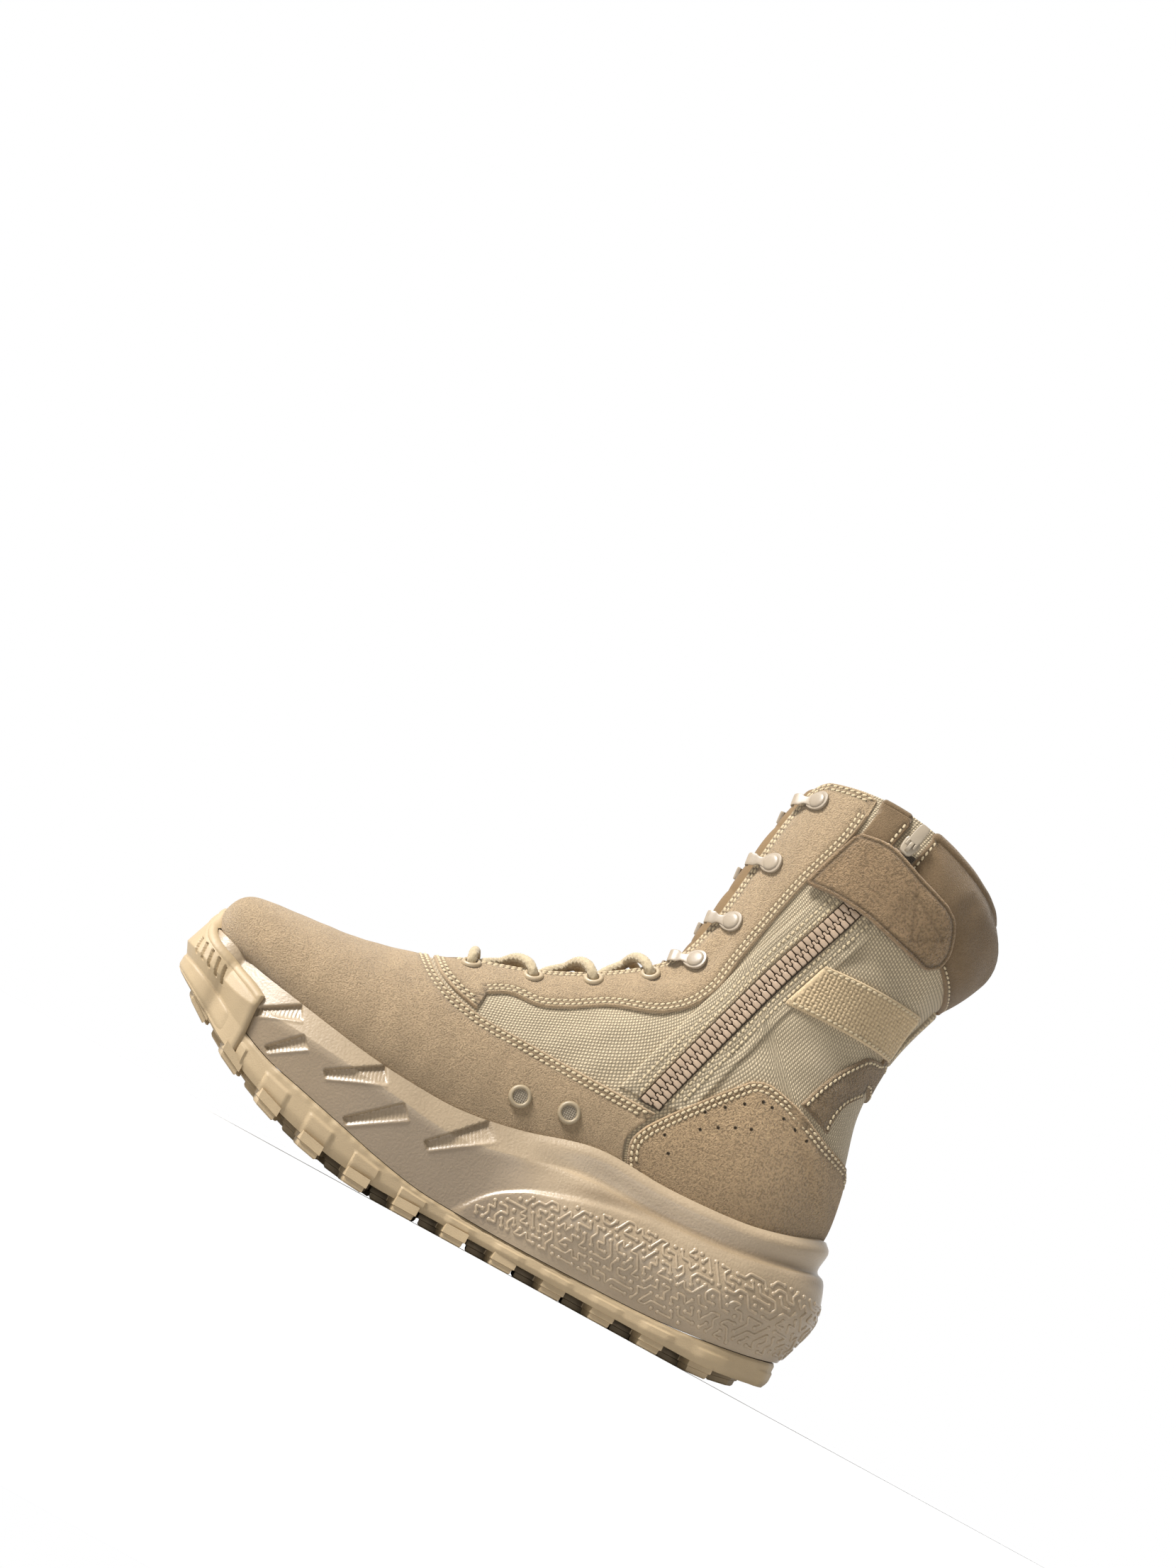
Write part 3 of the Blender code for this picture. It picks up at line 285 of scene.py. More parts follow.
def surface_frame(u, v, offset, towards):
    """Placement on the form: Z outwards, X along the given direction laid into the surface."""
    normal = Vector(form_normal(u, v))
    ahead = Vector(towards)
    ahead = (ahead - ahead.dot(normal) * normal).normalized()
    turn = Matrix((ahead, normal.cross(ahead), normal)).transposed()
    return Matrix.Translation(Vector(form(u, v)) + normal * offset) @ turn.to_4x4()


def path_frames(u, v, at, length):
    """Places, directions and normals at distances along a line on the form."""
    table = table_at(at, length, np.column_stack([form(u, v), u, v]))
    place, normal = table[:, :3], form_normal(table[:, 3], table[:, 4])
    ahead = np.gradient(place, axis=0)
    ahead -= (ahead * normal).sum(-1, keepdims=True) * normal
    return place, unit(ahead), normal


CREASE_TREES = [(crease, tree_of(form(*on_form(smooth_line(crease.line, 1.5), side))))
                for crease in CREASES for side, _ in SIDES]


def folds(points):
    """Height of the listed folds: a soft trough with a low ridge along each side."""
    height = np.zeros(len(points))
    for crease, tree in CREASE_TREES:
        away = nearest(points, tree) / crease.width
        height -= crease.depth * (bell(away) - RIDGE_SHARE * bell((away - RIDGE_PLACE) / RIDGE_WIDTH))
    return height


# Materials

class Nodes:
    """Short calls that add nodes to a shader tree."""

    def __init__(self, tree):
        self.tree = tree
        self.coords = self.add("TexCoord").outputs

    def feed(self, socket, value):
        if isinstance(value, bpy.types.NodeSocket):
            self.tree.links.new(value, socket)
        else:
            socket.default_value = value

    def add(self, kind, inputs=(), **settings):
        made = self.tree.nodes.new("ShaderNode" + kind)
        for key, value in settings.items():
            setattr(made, key, value)
        for key, value in dict(inputs).items():
            self.feed(made.inputs[key], value)
        return made

    def math(self, operation, *values):
        return self.add("Math", enumerate(values), operation=operation).outputs[0]

    def blend(self, share, first, second):
        return self.add("Mix", {0: share, 6: first, 7: second}, data_type="RGBA").outputs[2]

    def between(self, value, low, high, to_low=0.0, to_high=1.0):
        return self.add("MapRange", {0: value, 1: low, 2: high, 3: to_low, 4: to_high}).outputs[0]

    def attribute(self, name, output="Fac"):
        return self.add("Attribute", attribute_name=name).outputs[output]

    def noise(self, size, detail=3.0):
        """Noise with features of about this size."""
        inputs = {"Vector": self.coords["Object"], "Scale": 1 / (size * MM), "Detail": detail}
        return self.add("TexNoise", inputs).outputs["Fac"]

    def mottled(self, tone, size, detail, span, levels):
        """A tone that drifts between two levels, and the drift itself."""
        cloud = self.noise(size, detail)
        low, high = (colour(tone, level) for level in levels)
        return self.blend(self.between(cloud, *span), low, high), cloud

    def bump(self, inputs, height, distance, strength):
        made = self.add("Bump", {"Height": height, "Distance": distance * MM, "Strength": strength})
        self.feed(inputs["Normal"], made.outputs["Normal"])


def colour(tone, level=1.0):
    return (tone[0] * level, tone[1] * level, tone[2] * level, 1)


def shader(name, **sockets):
    """A new material, its nodes and its shader's inputs."""
    made = bpy.data.materials.new(name)
    made.use_nodes = True
    inputs = made.node_tree.nodes["Principled BSDF"].inputs
    for socket, value in sockets.items():
        inputs[socket.replace("_", " ")].default_value = value
    return made, Nodes(made.node_tree), inputs


def suede(name, tone, nap, fibre):
    """Napped leather: mottled tone, short fibres, paler cut edges, painted shade along the sole and in the
    pits.
    """
    made, nodes, inputs = shader(name, Roughness=0.95, Sheen_Weight=0.3, Sheen_Roughness=0.4,
                                 Sheen_Tint=(1.0, 0.95, 0.88, 1), Specular_IOR_Level=0.15)
    base, cloud = nodes.mottled(tone, 14, 4, (0.32, 0.7), (0.93, 1.1))
    grain, speck = nodes.noise(fibre, 5), nodes.noise(0.5 * fibre, 2)
    base = nodes.blend(nodes.between(grain, 0.42, 0.64, 0, 0.35 + 0.4 * nap), base, colour(tone, 0.56))
    edge = nodes.between(nodes.attribute("edge"), 1.4, 0.2)
    worn = nodes.math("MULTIPLY", edge, nodes.between(cloud, 0.2, 0.8, 0.2, 0.8))
    base = nodes.blend(worn, base, colour(tone, 1.3))
    # Painted shade: the suede darkens towards the sole, broken up by the mottling.
    sole_shade = nodes.math("MULTIPLY", nodes.attribute("painted_shade"), nodes.between(cloud, 0.3, 0.7, 0.4, 0.7))
    base = nodes.blend(sole_shade, base, colour(tone, 0.45))
    # Painted shade in the stitch troughs, seam lines and pinholes, from the pit share.
    base = nodes.blend(nodes.between(nodes.attribute("pit"), 0, 1, 0, 0.85), base, colour(tone, 0.25))
    nodes.feed(inputs["Base Color"], base)
    nodes.bump(inputs, nodes.math("ADD", grain, nodes.math("MULTIPLY", speck, 0.6)), nap, 0.9)
    return made


def nylon(name, tone, pitch):
    """Plain weave on the piece's own chart: pillowed threads that pass over and under."""
    made, nodes, inputs = shader(name, Roughness=0.72, Sheen_Weight=0.12, Specular_IOR_Level=0.35)
    place = nodes.add("SeparateXYZ", {0: nodes.attribute("chart", "Vector")})
    along = [nodes.math("DIVIDE", place.outputs[axis], pitch) for axis in (0, 1)]
    cells = [nodes.math("FLOOR", count) for count in along]
    turned = [nodes.math("MULTIPLY", nodes.math("FRACT", count), math.pi) for count in along]
    pillow = nodes.math("MULTIPLY", *(nodes.math("SINE", turn) for turn in turned))
    over = nodes.math("PINGPONG", nodes.math("ADD", *cells), 1.0)
    height = nodes.math("MULTIPLY", pillow, nodes.between(over, 0, 1, 0.55, 1.0))
    base, _ = nodes.mottled(tone, 18, 3, (0.3, 0.7), (0.9, 1.08))
    # Painted shade between the threads and where a thread passes under.
    base = nodes.blend(nodes.between(height, 0.05, 0.6), colour(tone, 0.42), base)
    # Painted shade in the stitch troughs, from the pit share.
    base = nodes.blend(nodes.between(nodes.attribute("pit"), 0, 1, 0, 0.7), base, colour(tone, 0.3))
    nodes.feed(inputs["Base Color"], base)
    nodes.bump(inputs, nodes.math("ADD", height, nodes.math("MULTIPLY", nodes.noise(0.3), 0.3)), 0.45, 0.9)
    return made


def moulded(name, tone, roughness, grain, depth, coat=0.0):
    """Moulded foam, rubber or metal paint: even tone with fine grain and painted shade in the hollows."""
    made, nodes, inputs = shader(name, Coat_Weight=coat, Coat_Roughness=0.35, Specular_IOR_Level=0.4)
    base, _ = nodes.mottled(tone, 22, 4, (0.3, 0.72), (0.9, 1.08))
    fine = nodes.noise(grain)
    base = nodes.blend(nodes.between(fine, 0.3, 0.7, 0.2, 0), base, colour(tone, 0.7))
    # Painted shade: a darker colour where the hollow share asks for it.
    painted_shade = (tone[0] * 0.5, tone[1] * 0.46, tone[2] * 0.4, 1)
    base = nodes.blend(nodes.between(nodes.attribute("hollow"), 0, 1, 0, 0.75), base, painted_shade)
    nodes.feed(inputs["Base Color"], base)
    nodes.feed(inputs["Roughness"], nodes.between(fine, 0.3, 0.7, roughness - 0.06, roughness + 0.08))
    nodes.bump(inputs, fine, depth, 0.8)
    return made


def spun(name, tone, twist):
    """Thread, cord or webbing with fibres along it and painted shade in its gaps and troughs."""
    made, nodes, inputs = shader(name, Roughness=0.8, Sheen_Weight=0.2, Specular_IOR_Level=0.25)
    base, fibre = nodes.mottled(tone, twist, 4, (0.3, 0.7), (0.72, 1.12))
    base = nodes.blend(nodes.between(nodes.noise(9), 0.35, 0.75, 0, 0.35), base, colour(tone, 0.8))
    # Painted shade in the stitch troughs and the weave's hollows, from the pit share.
    base = nodes.blend(nodes.between(nodes.attribute("pit"), 0, 1, 0, 0.75), base, colour(tone, 0.35))
    nodes.feed(inputs["Base Color"], base)
    nodes.bump(inputs, fibre, 0.25, 0.7)
    return made


SUEDE = suede("suede", (0.385, 0.277, 0.165), nap=0.95, fibre=0.75)
# Cuff and collar suede: a darker leather, made darker still with painted shade for the back of the shaft.
SUEDE_CUFF_SHADED = suede("suede_cuff_shaded", (0.165, 0.11, 0.06), nap=0.45, fibre=0.6)
SUEDE_ROUGH = suede("suede_rough", (0.44, 0.304, 0.17), nap=1.7, fibre=0.9)
SUEDE_TAB = suede("suede_tab", (0.22, 0.152, 0.086), nap=1.3, fibre=1.0)
SUEDE_STRAP = suede("suede_strap", (0.285, 0.19, 0.104), nap=1.4, fibre=1.0)
CANVAS = nylon("woven_nylon", (0.5, 0.4, 0.258), pitch=1.25)
LINING = nylon("lining", (0.16, 0.115, 0.066), pitch=0.9)
TAPE = nylon("zip_tape", (0.09, 0.065, 0.04), pitch=0.8)
FOAM = moulded("midsole_foam", (0.325, 0.244, 0.154), 0.42, grain=1.1, depth=0.3, coat=0.6)
RUBBER = moulded("outsole_rubber", (0.37, 0.275, 0.16), 0.55, grain=0.6, depth=0.12)
METAL = moulded("painted_metal", (0.29, 0.232, 0.166), 0.42, grain=0.8, depth=0.04, coat=0.2)
EYELET = moulded("eyelet_metal", (0.36, 0.275, 0.17), 0.4, grain=0.8, depth=0.04, coat=0.2)
SLIDER = moulded("slider_metal", (0.32, 0.262, 0.19), 0.34, grain=0.6, depth=0.05, coat=0.2)
ZIP_PLASTIC = moulded("zip_plastic", (0.34, 0.245, 0.165), 0.42, grain=0.7, depth=0.05, coat=0.1)
VENT_RING = moulded("vent_ring", (0.29, 0.225, 0.14), 0.45, grain=0.8, depth=0.04, coat=0.1)
VENT_MESH = moulded("vent_mesh", (0.29, 0.24, 0.175), 0.7, grain=0.5, depth=0.2)
# Tongue leather: brown, made darker with painted shade for the throat it sits in.
TONGUE_SHADED = moulded("tongue_leather_shaded", (0.165, 0.1, 0.04), 0.66, grain=1.1, depth=0.2)
THREAD = spun("thread", (0.52, 0.415, 0.26), twist=0.35)
LACE = spun("lace", (0.42, 0.335, 0.21), twist=0.45)
WEB = spun("webbing", (0.504, 0.378, 0.222), twist=0.6)


# Pieces: closed meshes whose faces are turned outwards at the end

def turn_outwards(mesh):
    bm = bmesh.new()
    bm.from_mesh(mesh)
    bmesh.ops.recalc_face_normals(bm, faces=bm.faces)
    bm.to_mesh(mesh)
    bm.free()


def linked(name, data):
    """A new object in the scene."""
    obj = bpy.data.objects.new(name, data)
    bpy.context.scene.collection.objects.link(obj)
    return obj


def add_piece(name, mesh_data, finish, replaces=(), body="boot", sharp=50.0, data=(), lined=None):
    """One visible piece. A lined piece has its second finish with the faces' own finish numbers."""
    points, faces = mesh_data
    mesh = bpy.data.meshes.new(name)
    mesh.from_pydata((np.asarray(points, float) * MM).tolist(), [], [list(map(int, face)) for face in faces])
    for key, values in dict(data).items():
        kind, field = ("FLOAT", "value") if np.ndim(values) == 1 else ("FLOAT_VECTOR", "vector")
        layer = mesh.attributes.new(key, kind, "POINT" if len(values) == len(points) else "CORNER")
        layer.data.foreach_set(field, np.asarray(values, np.float32).ravel())
    mesh.materials.append(finish)
    if lined:
        mesh.materials.append(lined[0])
        mesh.polygons.foreach_set("material_index", np.asarray(lined[1], np.int32))
    turn_outwards(mesh)
    mesh.shade_smooth()
    mesh.set_sharp_from_angle(angle=math.radians(sharp))
    obj = linked(name, mesh)
    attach(obj, body)
    if replaces:
        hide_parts(*replaces)
    return obj


def joined(parts):
    """One mesh from several."""
    points, faces, count = [], [], 0
    for part_points, part_faces in parts:
        points.append(np.asarray(part_points, float))
        faces += [[i + count for i in face] for face in part_faces]
        count += len(part_points)
    return np.vstack(points), faces


def placed(matrix, mesh_data):
    matrix = np.array(matrix)
    return mesh_data[0] @ matrix[:3, :3].T + matrix[:3, 3], mesh_data[1]


def grid_faces(rows, columns, wrap=False, closed=False, start=0):
    """Quads of a grid of points, joined round along its rows (wrap) or its columns (closed)."""
    number = start + np.arange(rows * columns).reshape(rows, columns)
    if wrap:
        number = np.hstack([number, number[:, :1]])
    if closed:
        number = np.vstack([number, number[:1]])
    corners = (number[:-1, :-1], number[1:, :-1], number[1:, 1:], number[:-1, 1:])
    return np.stack(corners, axis=-1).reshape(-1, 4).tolist()


def tube(rings):
    """Mesh through rings of points, with a cap on each end."""
    rings = np.asarray(rings, float)
    count, size = rings.shape[:2]
    caps = [list(range(size)), list(range((count - 1) * size, count * size))]
    return rings.reshape(-1, 3), grid_faces(count, size, wrap=True) + caps


def sheet(outer, inner):
    """Mesh between two grids of points that share their rows and columns."""
    rows, columns = outer.shape[:2]
    count = rows * columns
    number = np.arange(count).reshape(rows, columns)
    rim = np.concatenate([number[0, :-1], number[:-1, -1], number[-1, :0:-1], number[:0:-1, 0]])
    faces = grid_faces(rows, columns) + grid_faces(rows, columns, start=count)
    faces += [(a, b, b + count, a + count) for a, b in zip(rim, np.roll(rim, -1))]
    return np.vstack([outer.reshape(-1, 3), inner.reshape(-1, 3)]), faces


def lathe(profile, steps, hollow=False):
    """Turned shape about Z from (radius, height) pairs: capped, or a ring round a hole."""
    circle = np.column_stack([np.cos(turns(steps)), np.sin(turns(steps))])
    rings = [np.column_stack([radius * circle, np.full(steps, height)]) for radius, height in profile]
    if hollow:
        return np.vstack(rings), grid_faces(len(profile), steps, wrap=True, closed=True)
    return tube(rings)


def rounded_plate(outline, low, high, bevel):
    """Plate with rounded edges from a closed outline."""
    flat = np.array(outline, float)
    along = np.roll(flat, -1, axis=0) - np.roll(flat, 1, axis=0)
    inward = unit(np.column_stack([-along[:, 1], along[:, 0]]))
    levels = [(bevel * (1 - math.sin(turn)), low + bevel * (1 - math.cos(turn)))
              for turn in np.linspace(0, math.pi / 2, 4)]
    levels += [(inset, low + high - height) for inset, height in levels[::-1]]
    rings = [np.column_stack([flat + inset * inward, np.full(len(flat), height)])
             for inset, height in levels]
    return tube(rings)


def superellipse(length, width, power, steps, taper=0.0):
    cosine, sine = np.cos(turns(steps)), np.sin(turns(steps))
    a = np.sign(cosine) * np.abs(cosine) ** (2 / power) * length / 2
    b = np.sign(sine) * np.abs(sine) ** (2 / power) * width / 2
    return np.column_stack([a, b * (1 + taper * a / length)])


def swept(line, sections):
    """Tube through section outlines, one at each place of a line in the XZ plane."""
    rings = []
    for (x, z), (ax, az), section in zip(line, unit(np.gradient(line, axis=0)), sections):
        rings.append(np.column_stack([x - section[:, 1] * az, section[:, 0], z + section[:, 1] * ax]))
    return tube(rings)


# Panels laid on the form

Run = namedtuple("Run", "u v rows")
LINES = np.linspace(0, LAST_ROW, 801)
ROW_LENGTHS = lengths_of(form(LINES, 0.5))
HALF_SHARES = np.linspace(0, 1, 60)
HALF_LENGTHS = np.linalg.norm(np.diff(form(LINES[:, None], HALF_SHARES), axis=1), axis=-1).sum(axis=1)
CORNER_ROW, CORNER_RADIUS = 19.0, 10.0
EDGE_STEP, LEAST_EDGE, EDGE_RINGS, EDGE_ROUND, EDGE_SHARE = 1.0, 0.25, (0.3, 0.7, 1.3), 0.9, 0.45
STITCH_PITCH, STITCH_SIZE, STITCH_SLANT, STITCH_STRAY = 2.6, (2.1, 0.6, 0.45), 0.2, 0.05
STITCH_PROFILE = [(-0.5, 0.25), (-0.36, 0.8), (0, 1), (0.36, 0.8), (0.5, 0.25)]
TROUGH, TROUGH_WIDTH, SEAM_SHARE, STITCH_SINK = 0.4, 0.6, 0.5, 0.4
CLEAR_STITCHES, CLEAR_RINGS, LEAST_POINTS = 0.95, 0.93, 5
PAD_REACH, PAD_POWER, FOLD_MARGIN, WAVE_MARGIN = 9.0, 1.4, 6.0, 5.0
PANEL_WAVES = {"seed": 3, "wavelength": 22}
UNDER_DROP, UNDER_THINNING = 0.5, 7
RELIEF_MARGIN, RELIEF_DEPTH = (1.6, 2.6), 0.5
# Shares v over which painted shade darkens the suede towards the sole
SOLE_SHADE_SPAN = (0.72, 1.0)
HOLE_RINGS, HOLE_SIDES, HOLE_RADIUS, HOLE_DEPTH, HOLE_SHADE = (0.95, 0.66, 0.5), 10, 0.58, 1.1, 0.14


def unroll(u, v, back):
    """Flat chart of the form. The back chart measures round from the back seam, the other from the ridge."""
    share = np.where(v < 0, -1 - v, 1 - v) if back else v
    return np.column_stack([np.interp(u, LINES, ROW_LENGTHS), share * np.interp(u, LINES, HALF_LENGTHS)])


def roll(flat, back):
    """Rows and shares of a chart's points."""
    u = np.interp(flat[:, 0], ROW_LENGTHS, LINES)
    share = flat[:, 1] / np.interp(u, LINES, HALF_LENGTHS)
    v = np.where(share < 0, -1 - share, 1 - share) if back else share
    return u, np.clip(v, -1, 1)


def chart_data(flat):
    return np.column_stack([flat, np.zeros(len(flat))])


def corner_v(u, top_row):
    """Share v of the throat's edge with its top corner rounded off below a row."""
    rise = np.clip((u - CORNER_ROW) / (top_row - CORNER_ROW), 0, 1)
    return throat_v(u) + CORNER_RADIUS * (1 - rounded(1 - rise)) / np.interp(u, LINES, HALF_LENGTHS)


def side_run(points, side, rows=()):
    return Run(*on_form(smooth_line(points), side), rows)


def form_run(u, v, rows=()):
    return Run(*np.broadcast_arrays(np.asarray(u, float), np.asarray(v, float)), rows)


def round_back(row, start, end, count, rows=()):
    """Runs along a row from one share to another, round the back seam."""
    seam = math.copysign(1, start)
    spans = (start, seam), (-seam, end)
    return [form_run(row, np.linspace(*span, count), rows) for span in spans]


def above_feather(run):
    """The run without the points that reach the feather."""
    clear = np.abs(run.v) < FEATHER_V - FEATHER_CLEARANCE
    return Run(run.u[clear], run.v[clear], run.rows)


def backwards(run):
    return Run(run.u[::-1], run.v[::-1], run.rows)


def bridge(first, second):
    """Straight run from the end of one run to the start of another."""
    return Run(np.array([first.u[-1], second.u[0]]), np.array([first.v[-1], second.v[0]]), ())


def band(edge, other):
    """Outline from two long edges that run in opposite directions."""
    return [edge, bridge(edge, other), other, bridge(other, edge)]


def even(run, step):
    """Rows and shares at even distances along a run."""
    length = lengths_of(form(run.u, run.v))
    at = np.linspace(0, length[-1], max(int(length[-1] / step), 1) + 1)
    return table_at(at, length, np.column_stack([run.u, run.v]))


def inside(points, loop):
    """Which points lie inside a closed flat loop."""
    hits = np.zeros(len(points), bool)
    for (ax, ay), (bx, by) in zip(loop, np.roll(loop, -1, axis=0)):
        if ay == by:
            continue
        crossing = (points[:, 1] < ay) != (points[:, 1] < by)
        hits ^= crossing & (points[:, 0] < ax + (points[:, 1] - ay) / (by - ay) * (bx - ax))
    return hits


def triangulated(flat, points):
    """Triangles of a closed flat loop with points inside it, and the new numbers of the loop's points."""
    edges = [(i, (i + 1) % len(flat)) for i in range(len(flat))]
    every = [Vector(point) for point in np.vstack([flat, points])]
    found, _, faces, origin, _, _ = delaunay_2d_cdt(every, edges, [], 1, 1e-4)
    where = {source: i for i, sources in enumerate(origin) for source in sources}
    return np.array([tuple(point) for point in found]), faces, [where[i] for i in range(len(flat))]


def stitch_line(u, v, offset):
    """Short bulging stitches along a line on the form, a little aslant."""
    length = lengths_of(form(u, v))
    count = int(length[-1] / STITCH_PITCH)
    if count < 2:
        return None
    place, tangent, normal = path_frames(u, v, (np.arange(count) + 0.5) * length[-1] / count, length)
    stray = RNG.normal(0, STITCH_STRAY, tangent.shape)
    tangent = unit(tangent + STITCH_SLANT * np.cross(normal, tangent) + stray)
    rings = [[(along, size * math.cos(turn), size * math.sin(turn)) for turn in turns(6)]
             for along, size in STITCH_PROFILE]
    stitch, faces = tube(np.array(rings) * STITCH_SIZE)
    axes = np.stack([tangent, np.cross(normal, tangent), normal], axis=1)
    spots = place + offset * normal
    return joined([(spot + stitch @ turn, faces) for spot, turn in zip(spots, axes)])


def hole_rims(holes):
    """Rows and shares of small holes' middles and of rings round them."""
    circle = np.column_stack([np.cos(turns(HOLE_SIDES)), np.sin(turns(HOLE_SIDES)), np.zeros(HOLE_SIDES)])
    rims = []
    for u, v in holes:
        around = circle @ np.array(surface_frame(u, v, 0, UP).to_3x3()).T
        middle = np.full(HOLE_SIDES, u), np.full(HOLE_SIDES, v)
        rims.append([(u, v)])
        rims += [np.column_stack(shifted(*middle, around, radius)) for radius in HOLE_RINGS]
    return np.vstack(rims)


class Outline:
    """A closed line of runs on the form, with what is needed to work inwards from it."""

    def __init__(self, runs, back):
        self.runs, self.back = runs, back
        lines = [even(run, EDGE_STEP) for run in runs]
        loop, run_of = np.vstack(lines), np.repeat(np.arange(len(runs)), [len(line) for line in lines])
        places = form(*loop.T)
        kept = np.nonzero(np.linalg.norm(places - np.roll(places, 1, axis=0), axis=1) > LEAST_EDGE)[0]
        flat = unroll(*loop[kept].T, back)
        ends = np.roll(flat, -1, axis=0)
        if (flat[:, 0] * ends[:, 1] - flat[:, 1] * ends[:, 0]).sum() < 0:
            kept, flat = kept[::-1], flat[::-1]
        self.flat, self.loop, self.run_of, places = flat, loop[kept], run_of[kept], places[kept]
        ends = np.roll(places, -1, axis=0)
        across = np.cross(form_normal(*self.loop.T), ends - np.roll(places, 1, axis=0))
        self.inward = unit(-across if back else across)
        self.edge_tree = tree_of(np.vstack([places + (ends - places) * share for share in (0, 0.34, 0.67)]))
        self.insets = sorted({row for run in runs for row in run.rows})
        self.stitched = np.array([bool(runs[i].rows) for i in self.run_of])
        self.row_tree = tree_of(places[self.stitched]) if self.insets else None

    def inset(self, chosen, distance, least):
        """Rows and shares this far inside part of the edge, without those that come near another part."""
        u, v = shifted(*self.loop[chosen].T, self.inward[chosen], distance)
        clear = nearest(form(u, v), self.edge_tree) > least * distance
        return u[clear], v[clear]

    def stitches(self, offset):
        parts = []
        for i, run in enumerate(self.runs):
            for row in run.rows:
                u, v = self.inset(self.run_of == i, row, CLEAR_STITCHES)
                parts.append(stitch_line(u, v, offset) if len(u) >= LEAST_POINTS else None)
        return [part for part in parts if part]

    def rings(self):
        """Chart points along the rounded edge and the stitch troughs."""
        rings = [(np.ones(len(self.loop), bool), ring) for ring in EDGE_RINGS]
        steps = (-TROUGH_WIDTH, 0, TROUGH_WIDTH)
        rings += [(self.stitched, row + step) for row in self.insets for step in steps]
        return [unroll(*self.inset(*ring, CLEAR_RINGS), self.back) for ring in rings]

    def fill(self, spacing, hole_tree):
        """Staggered chart points over the rest of the panel."""
        low, high = self.flat.min(axis=0), self.flat.max(axis=0)
        a, b = np.meshgrid(np.arange(low[0], high[0], spacing * 0.866), np.arange(low[1], high[1], spacing),
                           indexing="ij")
        b = b + (np.arange(len(a)) % 2 * spacing / 2)[:, None]
        fill = np.column_stack([a.ravel(), b.ravel()])
        fill = fill[inside(fill, self.flat)]
        surface = form(*roll(fill, self.back))
        clear = nearest(surface, self.edge_tree) > EDGE_RINGS[-1] + 0.5 * spacing
        if self.insets:
            clear &= nearest(surface, self.row_tree) > self.insets[-1] + TROUGH_WIDTH + 0.4 * spacing
        if hole_tree:
            clear &= nearest(surface, hole_tree) > HOLE_RINGS[0] + 0.5
        return fill[clear]

    def pits(self, surface, seams):
        """Share of the troughs under stitches and seams."""
        pit = np.zeros(len(surface))
        if self.insets:
            from_rows = nearest(surface, self.row_tree)
            pit += sum(bell((from_rows - row) / TROUGH_WIDTH) for row in self.insets)
        for seam in seams:
            pit += SEAM_SHARE * bell(nearest(surface, tree_of(form(seam.u, seam.v))) / TROUGH_WIDTH)
        return np.minimum(pit, 1)


def panel(name, runs, finish, replaces=(), back=False, lift=0.3, thickness=1.4, spacing=2.0, pad=0.0,
          waves=0.15, holes=(), thread=True, relief=None, seams=()):
    """A sheet cut to an outline: rounded edges, stitch troughs with stitches, folds and small holes."""
    outline = Outline(runs, back)
    stitches = outline.stitches(lift + thickness - STITCH_SINK * TROUGH)
    hole_tree = tree_of(form(*np.array(holes).T)) if holes else None
    details = outline.rings() + ([unroll(*hole_rims(holes).T, back)] if holes else [])
    fill = outline.fill(spacing, hole_tree)
    flat, faces, border = triangulated(outline.flat, np.vstack(details + [fill]))
    u, v = roll(flat, back)
    surface = form(u, v)
    away = nearest(surface, outline.edge_tree)
    height = lift + thickness * (EDGE_SHARE + (1 - EDGE_SHARE) * rounded(away / EDGE_ROUND))
    height += pad * (1 - np.exp(-(away / PAD_REACH) ** PAD_POWER))
    height += folds(surface) * smoothstep(0, FOLD_MARGIN, away)
    height += waves * wander(surface, **PANEL_WAVES) * smoothstep(0, WAVE_MARGIN, away)
    # The pit share sinks the troughs and also paints shade into them.
    pit = outline.pits(surface, seams)
    height -= TROUGH * pit
    if relief:
        weave = relief(surface) * smoothstep(*RELIEF_MARGIN, away)
        height += weave
        # Painted shade in the weave's hollows.
        pit = np.maximum(pit, np.clip(-weave / RELIEF_DEPTH, 0, 1))
    if holes:
        from_hole = nearest(surface, hole_tree)
        height -= HOLE_DEPTH * (from_hole < HOLE_RADIUS)
        # Painted shade in and round the pinholes.
        pit = np.maximum(pit, from_hole < HOLE_RADIUS + HOLE_SHADE)
    top = surface + height[:, None] * form_normal(u, v)
    under_flat, under_faces, under_border = triangulated(outline.flat, fill[::UNDER_THINNING])
    under_u, under_v = roll(under_flat, back)
    under = form(under_u, under_v) + (lift - UNDER_DROP) * form_normal(under_u, under_v)
    shape = list(faces) + [[i + len(top) for i in face] for face in under_faces]
    for i in range(len(border)):
        shape.append((border[i - 1], under_border[i - 1] + len(top), under_border[i] + len(top), border[i]))
    # Painted shade: darker towards the sole, ahead of the heel row
    painted_shade = smoothstep(*SOLE_SHADE_SPAN, np.abs(v)) * (u < HEEL_ROW + 0.5)
    hidden = np.zeros(len(under))
    shown = {"edge": away, "pit": pit, "painted_shade": painted_shade}
    data = {key: np.concatenate([values, hidden]) for key, values in shown.items()}
    data["chart"] = chart_data(np.vstack([flat, under_flat]))
    obj = add_piece(name, (np.vstack([top, under]), shape), finish, replaces, data=data)
    if stitches and thread:
        add_piece(name + "_stitches", joined(stitches), THREAD)
    return obj


# Suede, trim and zip facings

